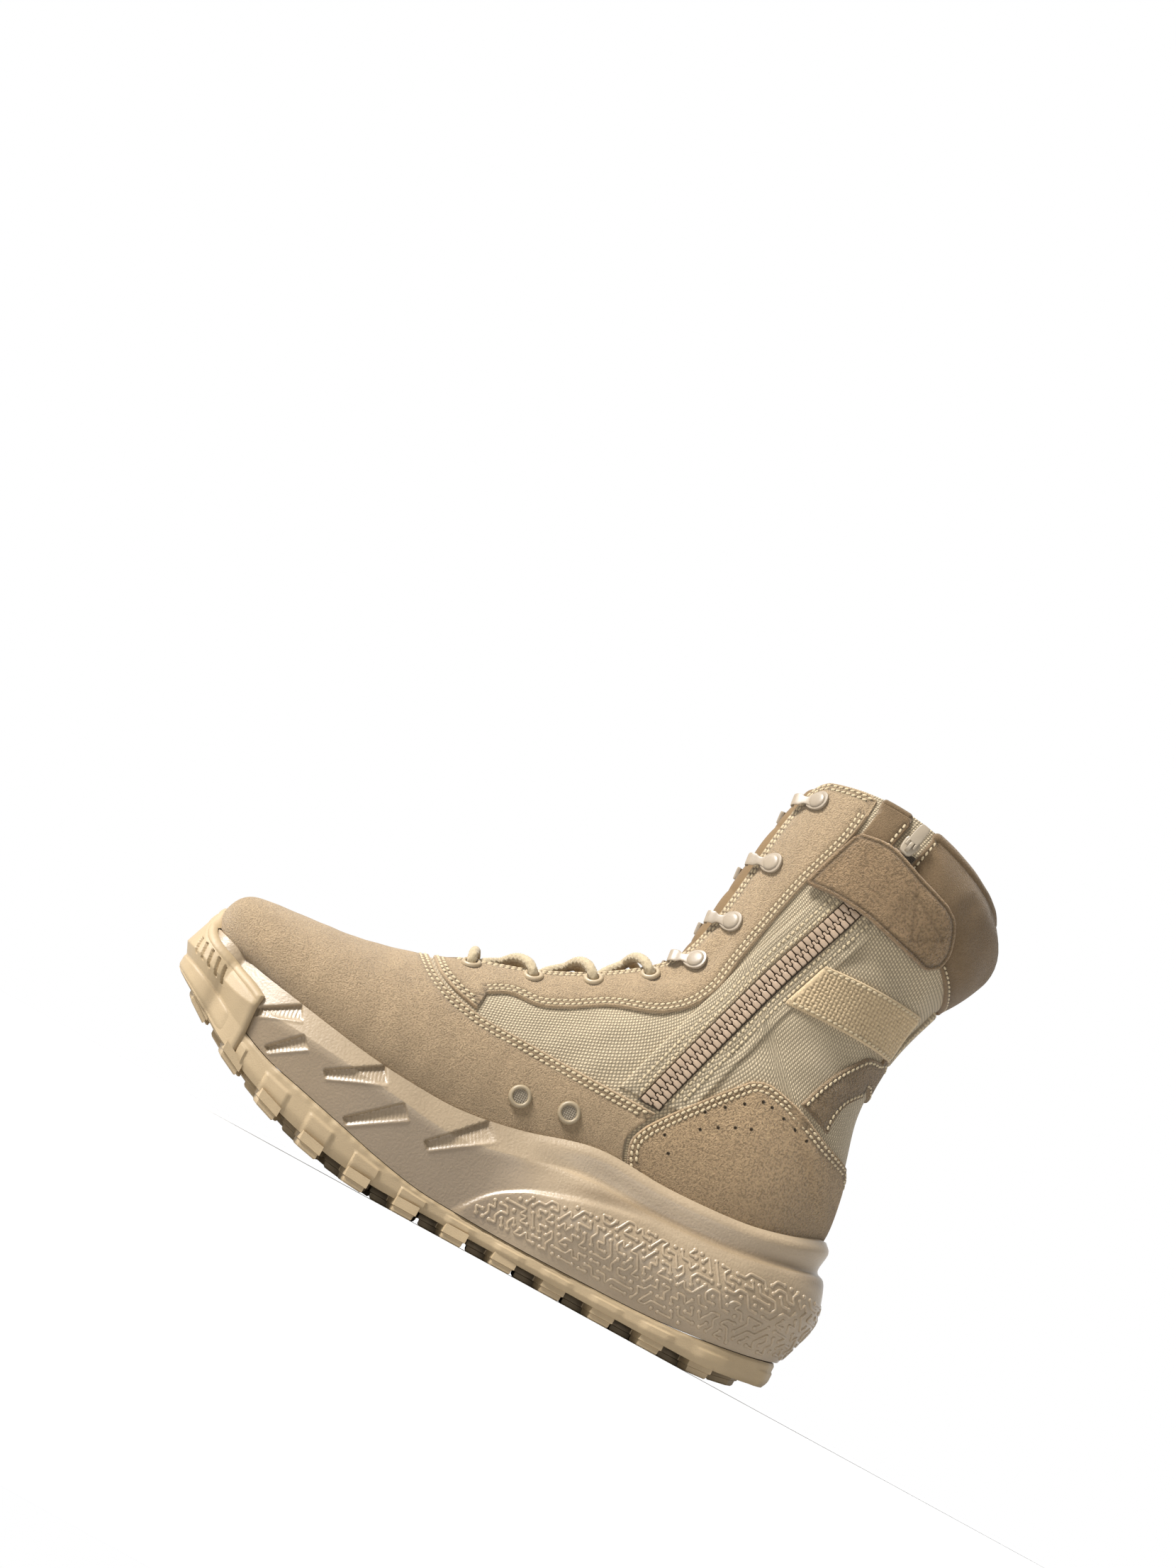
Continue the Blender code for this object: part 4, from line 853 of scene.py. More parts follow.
DOUBLE_ROWS = (1.7, 3.9)
VAMP_REAR = [(52, 57), (44.8, 73.5), (50.5, 87.6)]
VAMP_TOP = [(50.5, 88.2), (20.5, 88), (-9.6, 88.2), (-36, 88.8), (-50, 91.8), (-58, 95.6), (-66, 102.4)]
EYESTAY_FROM, EYESTAY_TOP, EYESTAY_DIP = 5.72, 19.95, 0.12
EYESTAY_REAR = [(70.4, 243), (69.4, 235), (60.6, 204), (52, 163), (48.8, 146), (43, 135.5), (34.3, 128),
                (12.3, 119), (-4, 109), (-13.4, 104.8), (-28.6, 102.8), (-35, 99)]
EYESTAY_DROP = [(-35.6, 98.2), (-36.2, 91)]
EYESTAY_FRONT = [(-36.2, 90.3), (-50, 93.6), (-57.5, 97.2), (-64, 103)]
EYESTAY_CORNER = (71, 245.5)
COLLAR_ROW, CUFF_SEAM_ROW = 19.9, 18.1
ROLL_ROW, ROLL_SINK, ROLL_SIDES, ROLL_LEAST, ROLL_STRAY = 19.92, 0.6, 14, 0.02, 0.06
CUFF_FRONT = [(73, 244.5), (72.2, 239), (66.5, 221)]
CUFF_FOOT = [(122, 205.5), (134, 198), (141, 190.5)]
COLLAR_FRONT = [(66.7, 220.6), (72.4, 239), (73.2, 245)]
COUNTER_EDGE = [(54, 58), (48.5, 67), (46.7, 73.5), (49, 80.5), (54, 88), (65, 102), (75.5, 114.5),
                (80, 119.3), (86.5, 121.6), (94, 120.8), (102, 119), (120, 112), (134, 108.4)]
COUNTER_BACK = 105
PINHOLES = [(62 + 6.4 * i, 92 + 6.6 * i - 0.3 * i * i) for i in range(5)]
PINHOLES += [(92 + 6.5 * i, 113.4 - 1.6 * i) for i in range(4)]
PINHOLES += [(70 + 6.2 * i, 91 + 4.6 * i - 0.4 * i * i) for i in range(4)] + [(58, 82), (63, 76)]
TAB_OUTER = [(102.5, 120.8), (106.5, 132.5), (115, 147.5), (120.5, 154), (127, 156)]
TAB_INNER = [(118.6, 115.8), (118.3, 123), (120, 130), (126, 138.7)]
TAB_TOP, TAB_LOW = 156.5, 139.5
STAY_LOW, STAY_HIGH, STAY_HALF_WIDTH = 158.5, 187.5, 10.5
STRAP_EDGES = [
    [(61.5, 206), (65.8, 220), (70, 232)],
    [(72, 234.6), (82, 235.6), (104, 228.9), (117, 225.2)],
    [(117, 225.2), (122, 222), (126.4, 214), (127.6, 208.6), (126, 201.5), (122, 198)],
    [(120, 197.6), (104, 200.4), (87, 204), (74, 205.2), (63, 205)],
]
STRAP_PATCH = [(103, 222), (110, 204.5), (121, 212)]
Facing = namedtuple("Facing", "name near far low high shift")
ZIP_FACINGS = [Facing("front", -5.0, -14.5, 90.5, 214, 0), Facing("rear", 5.0, 15.5, 92.5, 206, 1.5)]
ZIP_HEIGHTS, ZIP_LINE = (91, 126.6, 167, 203, 256), (46.4, 57, 69.6, 82.4, 95.5)
ZIP_SLOT_HALF_WIDTH = 5.6
BAND_LOW = [(129.5, 158.3), (104, 156.8), (76.2, 155)]
BAND_HIGH = [(84.2, 177.5), (108, 179.8), (132.5, 181.7)]
BAND_FRONT = [(76.2, 155), (80.2, 166), (84.2, 177.5)]
BAND_REAR = [(132.5, 181.7), (130.6, 170), (129.5, 158.3)]
BAND_AXIS = [(80.2, 166), (106, 168.3), (131, 170)]
WEAVE_ALONG, WEAVE_ACROSS, WEAVE_HEIGHT, WEAVE_SINK, WEAVE_UNDER = 1.75, 1.5, 0.9, 0.55, 0.65


def zip_x(z):
    return smooth(ZIP_HEIGHTS, ZIP_LINE, z)


def zip_points(low, high, shift=0.0, count=16, raised=0.0):
    """Points beside the zip's line, at even heights."""
    return [(float(zip_x(z)) + shift, z + raised) for z in np.linspace(low, high, count)]


def make_vamp():
    edges = []
    for side, _ in SIDES:
        edges.append((above_feather(side_run(VAMP_REAR, side)), side_run(VAMP_TOP, side, DOUBLE_ROWS)))
    medial, lateral = edges
    tips = [(edge[1].u[-1], edge[1].v[-1]) for edge in edges]
    across = form_run(*np.linspace(*tips, 60).T, DOUBLE_ROWS)
    runs = [*medial, across, backwards(lateral[1]), backwards(lateral[0]),
            form_run(np.linspace(lateral[0].u[0], TOE_TRIM, 400), FEATHER_V),
            form_run(TOE_TRIM, np.linspace(FEATHER_V, -FEATHER_V, 120)),
            form_run(np.linspace(TOE_TRIM, medial[0].u[0], 400), -FEATHER_V)]
    panel("vamp_suede", runs, SUEDE, ("vamp",), spacing=1.9, waves=0.22)


def make_eyestays():
    rows = (1.6, 3.5)
    quarter = np.linspace(0, math.pi / 2, 40)[1:]
    u = np.concatenate([np.linspace(EYESTAY_FROM, CORNER_ROW, 500),
                        CORNER_ROW + (EYESTAY_TOP - CORNER_ROW) * np.sin(quarter)])
    share = np.linspace(0, 1, 80)
    for side, word in SIDES:
        throat = form_run(u, side * corner_v(u, EYESTAY_TOP), rows)
        corner_share = side_run([EYESTAY_CORNER, EYESTAY_REAR[0]], side).v[0]
        top = form_run(EYESTAY_TOP - EYESTAY_DIP * smoothstep(0.8, 1, share) ** 2,
                       throat.v[-1] + (corner_share - throat.v[-1]) * share, rows)
        runs = [throat, top, side_run(EYESTAY_REAR, side, rows), side_run(EYESTAY_DROP, side),
                side_run(EYESTAY_FRONT, side, rows)]
        panel("eyestay_suede_" + word, runs, SUEDE, ("eyestay_" + word,), spacing=1.8, waves=0.12)


def collar_roll(name, v, high, wide):
    """Stuffed roll over the collar's edge, with round ends."""
    spots, normals = form(ROLL_ROW, v), form_normal(ROLL_ROW, v)
    rising = unit(np.cross(normals, np.gradient(spots, axis=0)))
    rising *= np.sign(rising[:, 2:])
    length = lengths_of(spots)
    from_end = np.minimum(length, length[-1] - length)
    size = rounded(np.maximum(from_end / high, ROLL_LEAST)) * (1 + ROLL_STRAY * wander(spots, 9, 16))
    around = turns(ROLL_SIDES)
    out, up = size[:, None] * wide * np.cos(around), size[:, None] * high * np.sin(around)
    rings = (spots - ROLL_SINK * normals)[:, None] + out[..., None] * normals[:, None]
    rings += up[..., None] * rising[:, None]
    add_piece(name, tube(rings), SUEDE_CUFF_SHADED, data={"edge": np.full(out.size, 9.0)})


def make_cuff():
    """Padded cuff round the back, the short piece ahead of the zip, and the rolls over both."""
    rows = (1.8,)
    slot = zip_points(213, 246, ZIP_SLOT_HALF_WIDTH, 9)
    rise, front = side_run(slot, MEDIAL, rows), side_run(CUFF_FRONT, LATERAL, rows)
    lateral = side_run([CUFF_FRONT[-1], (95, 213)] + CUFF_FOOT, LATERAL, rows)
    medial = side_run([slot[0], (110, 208.6)] + CUFF_FOOT, MEDIAL, rows)
    runs = [rise, *round_back(COLLAR_ROW, rise.v[-1], front.v[0], 200), front, lateral,
            *round_back(CUFF_SEAM_ROW, lateral.v[-1], medial.v[-1], 20, rows), backwards(medial)]
    cuff = panel("cuff_padded", runs, SUEDE_CUFF_SHADED, ("cuff",), back=True, spacing=2.2, pad=2.6,
                 waves=0.3)
    around = np.linspace(front.v[0] - 1, 1 + rise.v[-1], 260)
    collar_roll("collar_roll", np.where(around < 0, 1 + around, -1 + around), 2.7, 3.2)
    front_edge = side_run(COLLAR_FRONT, MEDIAL)
    ahead = zip_points(216, 247, -ZIP_SLOT_HALF_WIDTH, 9)
    zip_edge = side_run(ahead[::-1], MEDIAL, rows)
    collar_v = np.linspace(front_edge.v[-1], zip_edge.v[0], 60)
    foot = side_run([ahead[0], COLLAR_FRONT[0]], MEDIAL)
    runs = [front_edge, form_run(COLLAR_ROW, collar_v), zip_edge, foot]
    panel("collar_front_suede", runs, SUEDE_CUFF_SHADED, ("collar_front",), spacing=1.8, pad=0.5)
    collar_roll("collar_roll_front", collar_v, 1.8, 2.6)


def make_counter():
    medial, lateral = (side_run(COUNTER_EDGE, side, DOUBLE_ROWS) for side, _ in SIDES)
    holes = [locate(x, z, side) for side, _ in SIDES for x, z in PINHOLES]
    foot = np.linspace(HEEL_ROW - 0.25, medial.u[0], 300)
    runs = [medial, *round_back(back_row(COUNTER_BACK), medial.v[-1], lateral.v[-1], 12, DOUBLE_ROWS),
            backwards(lateral), form_run(foot[::-1], FEATHER_V), form_run(foot, -FEATHER_V)]
    panel("heel_counter_suede", runs, SUEDE_ROUGH, ("heel_counter",), back=True, spacing=1.9,
          holes=holes, thickness=1.6)


def make_heel_tab():
    rows = (1.7,)
    (outer, inner), (far_outer, far_inner) = (
        [side_run(line, side, rows) for line in (TAB_OUTER, TAB_INNER)] for side, _ in SIDES)
    top = round_back(back_row(TAB_TOP), outer.v[-1], far_outer.v[-1], 12, rows)
    low = round_back(back_row(TAB_LOW), far_inner.v[-1], inner.v[-1], 12, rows)
    runs = [outer, *top, backwards(far_outer), far_inner, *low, backwards(inner)]
    panel("heel_tab_suede", runs, SUEDE_TAB, ("heel_tab",), back=True, spacing=1.8)


def make_back_stay():
    low, high, rows = back_row(STAY_LOW), back_row(STAY_HIGH), (1.6,)
    u, shares = np.linspace(low, high, 60), np.linspace(0.6, 1, 300)
    v = np.array([np.interp(-STAY_HALF_WIDTH, -np.abs(form(row, shares)[:, 1]), shares) for row in u])
    runs = [form_run(u, -v, rows), *round_back(high, -v[-1], v[-1], 30),
            form_run(u[::-1], v[::-1], rows), *round_back(low, v[0], -v[0], 30)]
    panel("back_stay_nylon", runs, CANVAS, ("back_stay",), back=True, spacing=1.6)


def make_strap():
    corners = STRAP_PATCH + STRAP_PATCH[:1]
    seams = [side_run(pair, MEDIAL) for pair in zip(corners, corners[1:])]
    panel("zip_strap_suede", [side_run(edge, MEDIAL, (1.8,)) for edge in STRAP_EDGES], SUEDE_STRAP,
          ("zip_strap",), lift=2.7, thickness=2.0, spacing=1.0, waves=0.35, thread=False, seams=seams)


def make_zip_facings():
    """Folded nylon edges along both sides of the zip."""
    for facing in ZIP_FACINGS:
        edge = side_run(zip_points(facing.low, facing.high, facing.near, 14), MEDIAL, (1.5, 4.6))
        other = side_run(zip_points(facing.high, facing.low, facing.far, 14, facing.shift), MEDIAL)
        panel("zip_facing_" + facing.name, band(edge, other), CANVAS, lift=0.1, thickness=1.0,
              spacing=1.8, waves=0.1)


def weave_relief(axis, places):
    """Coarse square weave of the ankle band, counted along and across the band."""
    along = np.interp(places[:, 0], axis[:, 0], lengths_of(axis[:, :2])) / WEAVE_ALONG
    across = (places[:, 2] - np.interp(places[:, 0], axis[:, 0], axis[:, 2])) / WEAVE_ACROSS
    over = (np.floor(along) + np.floor(across)) % 2
    pillow = np.sqrt(np.abs(np.sin(along * math.pi) * np.sin(across * math.pi)))
    return WEAVE_HEIGHT * pillow * (WEAVE_UNDER + (1 - WEAVE_UNDER) * over) - WEAVE_SINK


def make_webbing():
    rows = (1.5,)
    for side, word in SIDES:
        runs = [side_run(BAND_LOW, side, rows), side_run(BAND_FRONT, side),
                side_run(BAND_HIGH, side, rows), side_run(BAND_REAR, side)]
        axis = form(*on_form(smooth_line(BAND_AXIS, 1.0), side))
        panel("webbing_band_" + word, runs, WEB, ("webbing_" + word,), spacing=0.45,
              thickness=1.6, relief=partial(weave_relief, axis))


# Shell and tongue

SHELL_OPEN, SHELL_OPENING = 5.3, 0.4
SHELL_ROWS = np.concatenate([
    np.linspace(TOE_TRIM, SHELL_OPEN, 60, endpoint=False),
    np.linspace(SHELL_OPEN, HEEL_ROW, 190, endpoint=False),
    np.linspace(HEEL_ROW, CORNER_ROW, 75, endpoint=False),
    CORNER_ROW + (LAST_ROW - CORNER_ROW) * np.sin(np.linspace(0, math.pi / 2, 26)),
])
SHELL_COLUMNS, SHELL_WAVES = 64, {"seed": 5, "wavelength": 26}
SHELL_WAVE_HEIGHT = 0.2
TONGUE_ROWS, TONGUE_COLUMNS, TONGUE_FROM, TONGUE_OVERLAP = 190, 71, 5.0, 0.286
TONGUE_BULGE, TONGUE_FREE, TONGUE_OPEN, BULGE_POWER = 2.4, (9.6, 12), 0.97, 0.6
TONGUE_GAP, TONGUE_CORNER = 0.1, 1.2
TONGUE_TOP, TONGUE_UNDER, TONGUE_ROUND = -3.4, -5.6, 0.3
QUILT_HEIGHT, QUILT_ROWS, QUILT_POWER = 0.9, 1.6, 0.35


def shell_grid(side):
    low = corner_v(SHELL_ROWS, LAST_ROW) * np.sqrt(np.clip((SHELL_ROWS - SHELL_OPEN) / SHELL_OPENING, 0, 1))
    high = np.where(SHELL_ROWS < HEEL_ROW - 1e-6, 1 - SOLE_TRIM, 1.0)
    v = low[:, None] + (high - low)[:, None] * np.linspace(0, 1, SHELL_COLUMNS)
    return np.repeat(SHELL_ROWS[:, None], SHELL_COLUMNS, axis=1), side * v


def half_shell(side):
    """One side of the shell: points outside and inside, faces with their finish numbers, and chart."""
    u, v = shell_grid(side)
    points, normals = form(u, v), form_normal(u, v)
    every = points.reshape(-1, 3)
    height = folds(every) + SHELL_WAVE_HEIGHT * wander(every, **SHELL_WAVES)
    height = height.reshape(u.shape) * smoothstep(LAST_ROW, CORNER_ROW, u)
    grids = [points + height[..., None] * normals, points - WALL * normals]
    number = np.arange(u.size).reshape(u.shape)
    throat_from = np.nonzero(v[:, 0] != 0)[0][0] - 1
    feather_to = np.nonzero(np.abs(v[:, -1]) == 1)[0][0] + 1
    rims = [number[0], number[-1], number[throat_from:, 0], number[:feather_to, -1]]
    woven, lining = grid_faces(*u.shape), grid_faces(*u.shape, start=u.size)
    for rim in rims:
        lining += [(a, b, b + u.size, a + u.size) for a, b in zip(rim, rim[1:])]
    kinds = [0] * len(woven) + [1] * len(lining)
    chart = unroll(u.ravel(), v.ravel(), False)
    both = np.vstack([grid.reshape(-1, 3) for grid in grids])
    return (both, woven + lining), kinds, np.vstack([chart, chart])


def make_upper():
    """The nylon shell, woven outside and lined inside, open at the collar, the throat and underneath."""
    halves, finishes, charts = zip(*(half_shell(side) for side, _ in SIDES))
    points, faces = joined(halves)
    chart = np.vstack(charts)
    _, first, where = np.unique(np.round(points, 4), axis=0, return_index=True, return_inverse=True)
    where = where.ravel()
    kept, kinds, sources = [], [], []
    for face, kind in zip(faces, finishes[0] + finishes[1]):
        corners = [i for k, i in enumerate(face) if where[i] != where[face[k - 1]]]
        if len({where[i] for i in corners}) > 2:
            kept.append([where[i] for i in corners])
            kinds.append(kind)
            sources += corners
    add_piece("upper_shell", (points[first], kept), CANVAS, ("upper",),
              data={"chart": chart_data(chart[sources])}, lined=(LINING, kinds))


def make_tongue():
    share = np.linspace(-1, 1, TONGUE_COLUMNS)
    top_row = LAST_ROW - TONGUE_GAP - TONGUE_CORNER * np.abs(share) ** 3
    rows = TONGUE_FROM + (top_row - TONGUE_FROM) * np.linspace(0, 1, TONGUE_ROWS)[:, None]
    throat = throat_v(rows)
    v = (throat + TONGUE_OVERLAP * (1 - throat)) * share
    points, normals = form(rows, v), form_normal(rows, v)
    quilt = np.abs(np.sin(rows * math.pi / QUILT_ROWS)) ** QUILT_POWER
    open_share = np.clip(np.abs(v) / (TONGUE_OPEN * throat), 0, 1)
    free = TONGUE_BULGE * smoothstep(*TONGUE_FREE, rows) * (1 - open_share ** 2) ** BULGE_POWER
    high, low = QUILT_HEIGHT * quilt * (1 - share ** 2) + TONGUE_TOP + free, free + TONGUE_UNDER
    middle, rounding = (high + low) / 2, rounded((top_row - rows) / TONGUE_ROUND)
    grids = [points + (middle + (level - middle) * rounding)[..., None] * normals for level in (high, low)]
    flat = unroll(rows.ravel(), v.ravel(), False)
    add_piece("tongue_padded", sheet(*grids), TONGUE_SHADED, ("tongue",),
              data={"chart": chart_data(np.vstack([flat, flat]))})


# Sole, with the main sizes of the part's source

FLAT_FROM, FLAT_TO = -30.0, 105.0
TOE_ROCKER_RADIUS, HEEL_BEVEL_RADIUS = 190.0, 117.0
SEAM_X = (-160, -145, -130, -115, -101, -81, -62, -43, -23, 2, 55, 97, 117, 134, 148, 158)
SEAM_Z = (60, 52, 44.5, 36.5, 30.5, 25.5, 21, 16.5, 13, 11.8, 11.8, 13.5, 16, 20, 26, 31)
BED_X = (-150, -131, -105, -60, -20, 30, 80, 125, 141)
BED_Z = (60.5, 53.5, 48, 42, 40.5, 44.5, 48.5, 51.5, 53)
RIM_RISE, RIM_INNER, BED_EDGE = 1.6, -2.9, -3.2
HEEL_BLEND = (0.0, 45.0)
BACK_FLARE, BACK_FLARE_SPAN = 0.28, (118.0, 140.0)
Level = namedtuple("Level", "share_fore share_heel out_heel")
MIDSOLE_SIDE = [
    Level(0.00, 0.00, 7.5),
    Level(0.28, 0.20, 10.6),
    Level(0.52, 0.42, 12.6),
    Level(0.70, 0.70, 9.2),
    Level(0.78, 0.77, 5.4),
    Level(0.93, 0.93, 5.9),
    Level(1.00, 1.00, 3.6),
]
LEVELS = np.concatenate([np.linspace(0, 3, 54, endpoint=False), np.linspace(3, 4, 6, endpoint=False),
                         np.linspace(4, 5, 9, endpoint=False), np.linspace(5, 6, 5)])
FACET_X, FACET_Z = (-160, -120, -95, -51, -18, 6, 24, 45), (64, 47.5, 46, 42, 39.5, 44, 50, 56)
FORE_LOW, FORE_WIDE, FORE_RIM = 4.6, 7.0, 3.2
SOLE_SPACING_X, SOLE_SPACING = (-160, -126, -120, -10, -4, 160), (1.5, 1.2, 0.5, 0.5, 1.1, 1.1)
HEEL_STATIONS, HEEL_ROUNDS, AWAY_ROUNDS = 10, 120, 60
Notch = namedtuple("Notch", "low_x low_z high_x high_z width")
NOTCHES = [
    Notch(-112, 44, -98.5, 53.5, 9),
    Notch(-101, 33, -90.5, 43.5, 8),
    Notch(-75, 35.5, -57, 47.5, 10),
    Notch(-59, 23, -43, 38, 9),
    Notch(-25.5, 30.5, -8.5, 48, 11),
]
NOTCH_DEPTH, NOTCH_WIDTH_SHARE, NOTCH_STRETCH = 2.2, 0.85, 1.18
NOTCH_RIB, NOTCH_RIB_PITCH, NOTCH_RIB_SLANT, NOTCH_LIP, NOTCH_LIP_WIDTH = 0.17, 1.6, 0.3, 0.35, 0.8
NOTCH_NARROW, NOTCH_START, NOTCH_RAMP = 0.45, 0.3, 0.8
POD_EDGE_X = (-6, 5, 15, 30, 49, 68, 87.5, 115, 150)
POD_EDGE_Z = (11, 25, 32, 38, 43.2, 47.0, 50.2, 54, 57)
POD_TOP_SHARE, POD_STEP, POD_STARTS, POD_STEP_FADES = 0.69, 1.4, (-8, 0), (40, 85)
DIP_RISE, DIP_WIDTH = 4.0, 2.6
# Shares of painted shade: in the notches, between the grip's ribs, on the lower facet and in the groove
# above the pod
NOTCH_SHADE, POD_SHADE, FACET_SHADE, DIP_SHADE = 0.5, 0.2, 0.85, 0.9
GRIP_PITCH, GRIP_ROWS, GRIP_STEPS, GRIP_RIB, GRIP_DOT = 3.1, 30, (2, 8), (0.64, 0.55), 1.15
GRIP_DOME = [(0.02, 0.55), (0.55 * GRIP_DOT, 0.47), (0.88 * GRIP_DOT, 0.24), (GRIP_DOT, -0.3)]
BUMPER_REACH, BUMPER_TOP = (0, 10, 22, 38, 54, 58), (80, 78, 67, 59.5, 54, 52)
BUMPER_THICKNESS, BUMPER_RIM, BUMPER_CLEARANCE, BUMPER_LEAST_OUT, BUMPER_LEAN = 2.6, 0.7, 0.7, 3.9, 2.4
BUMPER_ROUND, LINE_DEPTH, LINE_BELOW, LINE_WIDTH = 2.5, 0.4, 3.6, 0.5
SLOT_COUNT, SLOT_FROM, SLOT_PITCH, SLOT_HEIGHT, SLOT_DEPTH = 5, 22.0, 3.7, 7.0, 1.3
SLOT_LEAN, SLOT_SIDES, SLOT_ENDS = 0.35, (0.75, 0.35), (3.4, 2.9)
OUTSOLE_OUT, TOE_OUT, TOE_OUT_FADES, SEAM_GAP = 1.2, 2.6, (-124, -112), 0.25
FLASH, FLASH_WAVES = 0.25, {"seed": 21, "wavelength": 5}
GROOVE, GROOVE_WIDTH, GROOVE_SHADE = 0.8, 0.7, 0.8
FOOT_ROUND, FOOT_SHARE, FOOT_POWER, LUG_PAD = 1.6, 0.35, 1.5, 0.9
LUG_DEPTH, LUG_ROOT = 5.0, 1.6
TREAD_FROM, TREAD_TO, TREAD_PITCH, TREAD_OUT, TREAD_LEAST_EDGE = -137.0, 144.0, 23.0, 5.2, 18
LUG_LENGTH, LUG_LENGTH_SHARE, LUG_WIDTH, LUG_KINK, LUG_HALF_GAP = 17.0, 0.42, 9.0, 3.2, 0.45
INSOLE_INSET, INSOLE_TOP, INSOLE_LOW, INSOLE_CUP = 3.6, 4.5, 0.3, 1.4


def floor_z(x):
    """Height of the tread's rocker above the floor."""
    toe, heel = np.maximum(FLAT_FROM - x, 0), np.maximum(x - FLAT_TO, 0)
    rise = TOE_ROCKER_RADIUS - np.sqrt(TOE_ROCKER_RADIUS ** 2 - toe ** 2)
    return rise + HEEL_BEVEL_RADIUS - np.sqrt(HEEL_BEVEL_RADIUS ** 2 - heel ** 2)


def sole_loop(coarser):
    """Feather line round the sole, along the medial side to the heel and back, with outward directions."""
    halves, count = [], None
    for side, _ in SIDES:
        toe = form(0, side * np.linspace(0, 1, 80))
        line = np.vstack([toe, form(np.linspace(0, HEEL_ROW, 900)[1:], side)])
        spacing = coarser * np.interp((line[1:, 0] + line[:-1, 0]) / 2, SOLE_SPACING_X, SOLE_SPACING)
        steps = np.concatenate([[0], np.cumsum(np.linalg.norm(np.diff(line, axis=0), axis=1) / spacing)])
        count = count or int(steps[-1])
        halves.append(table_at(np.linspace(0, steps[-1], count), steps, line))
    loop = np.vstack([halves[0], halves[1][-2:0:-1]])
    first, last = count - 1 - HEEL_STATIONS, count + HEEL_STATIONS
    for _ in range(HEEL_ROUNDS):
        loop[first:last] = (loop[first - 1:last - 1] + 2 * loop[first:last] + loop[first + 1:last + 1]) / 4
    along = unit(np.roll(loop[:, :2], -1, axis=0) - np.roll(loop[:, :2], 1, axis=0))
    away = np.column_stack([along[:, 1], -along[:, 0]])
    for _ in range(AWAY_ROUNDS):
        away = (np.roll(away, 1, axis=0) + 2 * away + np.roll(away, -1, axis=0)) / 4
    return loop, unit(away), count


def levels_at(loop, away, reach, z):
    """Points at each level's reach out from the loop and its height."""
    reach, z = np.broadcast_arrays(np.atleast_2d(reach), np.atleast_2d(z))
    return np.dstack([loop[:, :2] + reach[..., None] * away, z])


def sole_solid(rings, count):
    """Mesh from levels of points round a sole loop, closed from its medial to its lateral side."""
    levels, size = rings.shape[:2]
    faces = grid_faces(levels, size, wrap=True)
    for start in (0, (levels - 1) * size):
        for i in range(count - 1):
            corners = [start + i, start + i + 1, start + (size - i - 1) % size, start + (size - i) % size]
            faces.append([corner for k, corner in enumerate(corners) if corner != corners[k - 1]])
    return rings.reshape(-1, 3), faces


def heel_share(x):
    """Share of the heel's section, and how much it flares at the back."""
    return smoothstep(*HEEL_BLEND, x), 1 + BACK_FLARE * smoothstep(*BACK_FLARE_SPAN, x)


def fore_out(x, z, seam, rim):
    """Reach of the forefoot's side, widest along the facet line."""
    facet = np.clip(smooth(FACET_X, FACET_Z, x), seam + 3, rim - 2)
    below, above = np.clip((z - seam) / (facet - seam), 0, 1), np.clip((z - facet) / (rim - facet), 0, 1)
    return FORE_LOW + (FORE_WIDE - FORE_LOW) * below + (FORE_RIM - FORE_WIDE) * above


def side_levels(x, seam, rim):
    """Reach and height of the midsole's levels (rows) at each station (columns)."""
    heel, flare = heel_share(x)
    index = np.arange(len(MIDSOLE_SIDE))
    columns = [smooth(index, column, LEVELS)[:, None] for column in zip(*MIDSOLE_SIDE)]
    share_fore, share_heel, out_heel = columns
    z = seam + (share_fore + (share_heel - share_fore) * heel) * (rim - seam)
    out = fore_out(x, z, seam, rim)
    return out + (out_heel * flare - out) * heel, z


def notch_relief(x, z):
    """Slanted pockets: a steep edge towards the toe, then a ribbed ramp that runs out towards the heel."""
    relief = np.zeros(z.shape)
    for notch in NOTCHES:
        length = math.hypot(notch.high_x - notch.low_x, notch.high_z - notch.low_z)
        cosine, sine = (notch.high_x - notch.low_x) / length, (notch.high_z - notch.low_z) / length
        dx, dz = x - (notch.low_x + notch.high_x) / 2, z - (notch.low_z + notch.high_z) / 2
        along, across = dx * cosine + dz * sine, dx * sine - dz * cosine
        length *= NOTCH_STRETCH
        widening = NOTCH_NARROW + (1 - NOTCH_NARROW) * np.clip(along / length + 0.5, 0, 1)
        width = NOTCH_WIDTH_SHARE * notch.width * widening
        inward = across + NOTCH_START * notch.width
        ramp = 1 - np.clip(inward / width, 0, 1)
        ends = smoothstep(0, 1.0, length / 2 - np.abs(along))
        ribs = np.sin((along + NOTCH_RIB_SLANT * inward) * 2 * math.pi / NOTCH_RIB_PITCH)
        ribs *= smoothstep(0.05, 0.3, ramp)
        depth = NOTCH_DEPTH * ramp ** NOTCH_RAMP + NOTCH_RIB * ribs
        relief -= ends * smoothstep(-0.4, 0.4, inward) * depth
        relief += NOTCH_LIP * ends * bell((inward - width) / NOTCH_LIP_WIDTH)
    return relief


class SoleSide:
    """The midsole's side as a surface over distance round the loop and height."""

    def __init__(self, loop, away, reach, z):
        self.loop, self.away, self.reach, self.z = loop, away, reach, z
        self.lengths = lengths_of(loop)

    def point(self, s, height):
        station = np.interp(s, self.lengths, np.arange(len(self.lengths)))
        first = min(int(station), len(self.lengths) - 2)
        ends = []
        for k in (first, first + 1):
            out = np.interp(height, self.z[:, k], self.reach[:, k])
            ends.append(np.append(self.loop[k, :2] + out * self.away[k], height))
        return ends[0] + (station - first) * (ends[1] - ends[0])

    def frame(self, s, height, step=0.5):
        """Place and outward direction."""
        place = self.point(s, height)
        along, up = self.point(s + step, height) - place, self.point(s, height + step) - place
        return place, unit(np.cross(along, up))


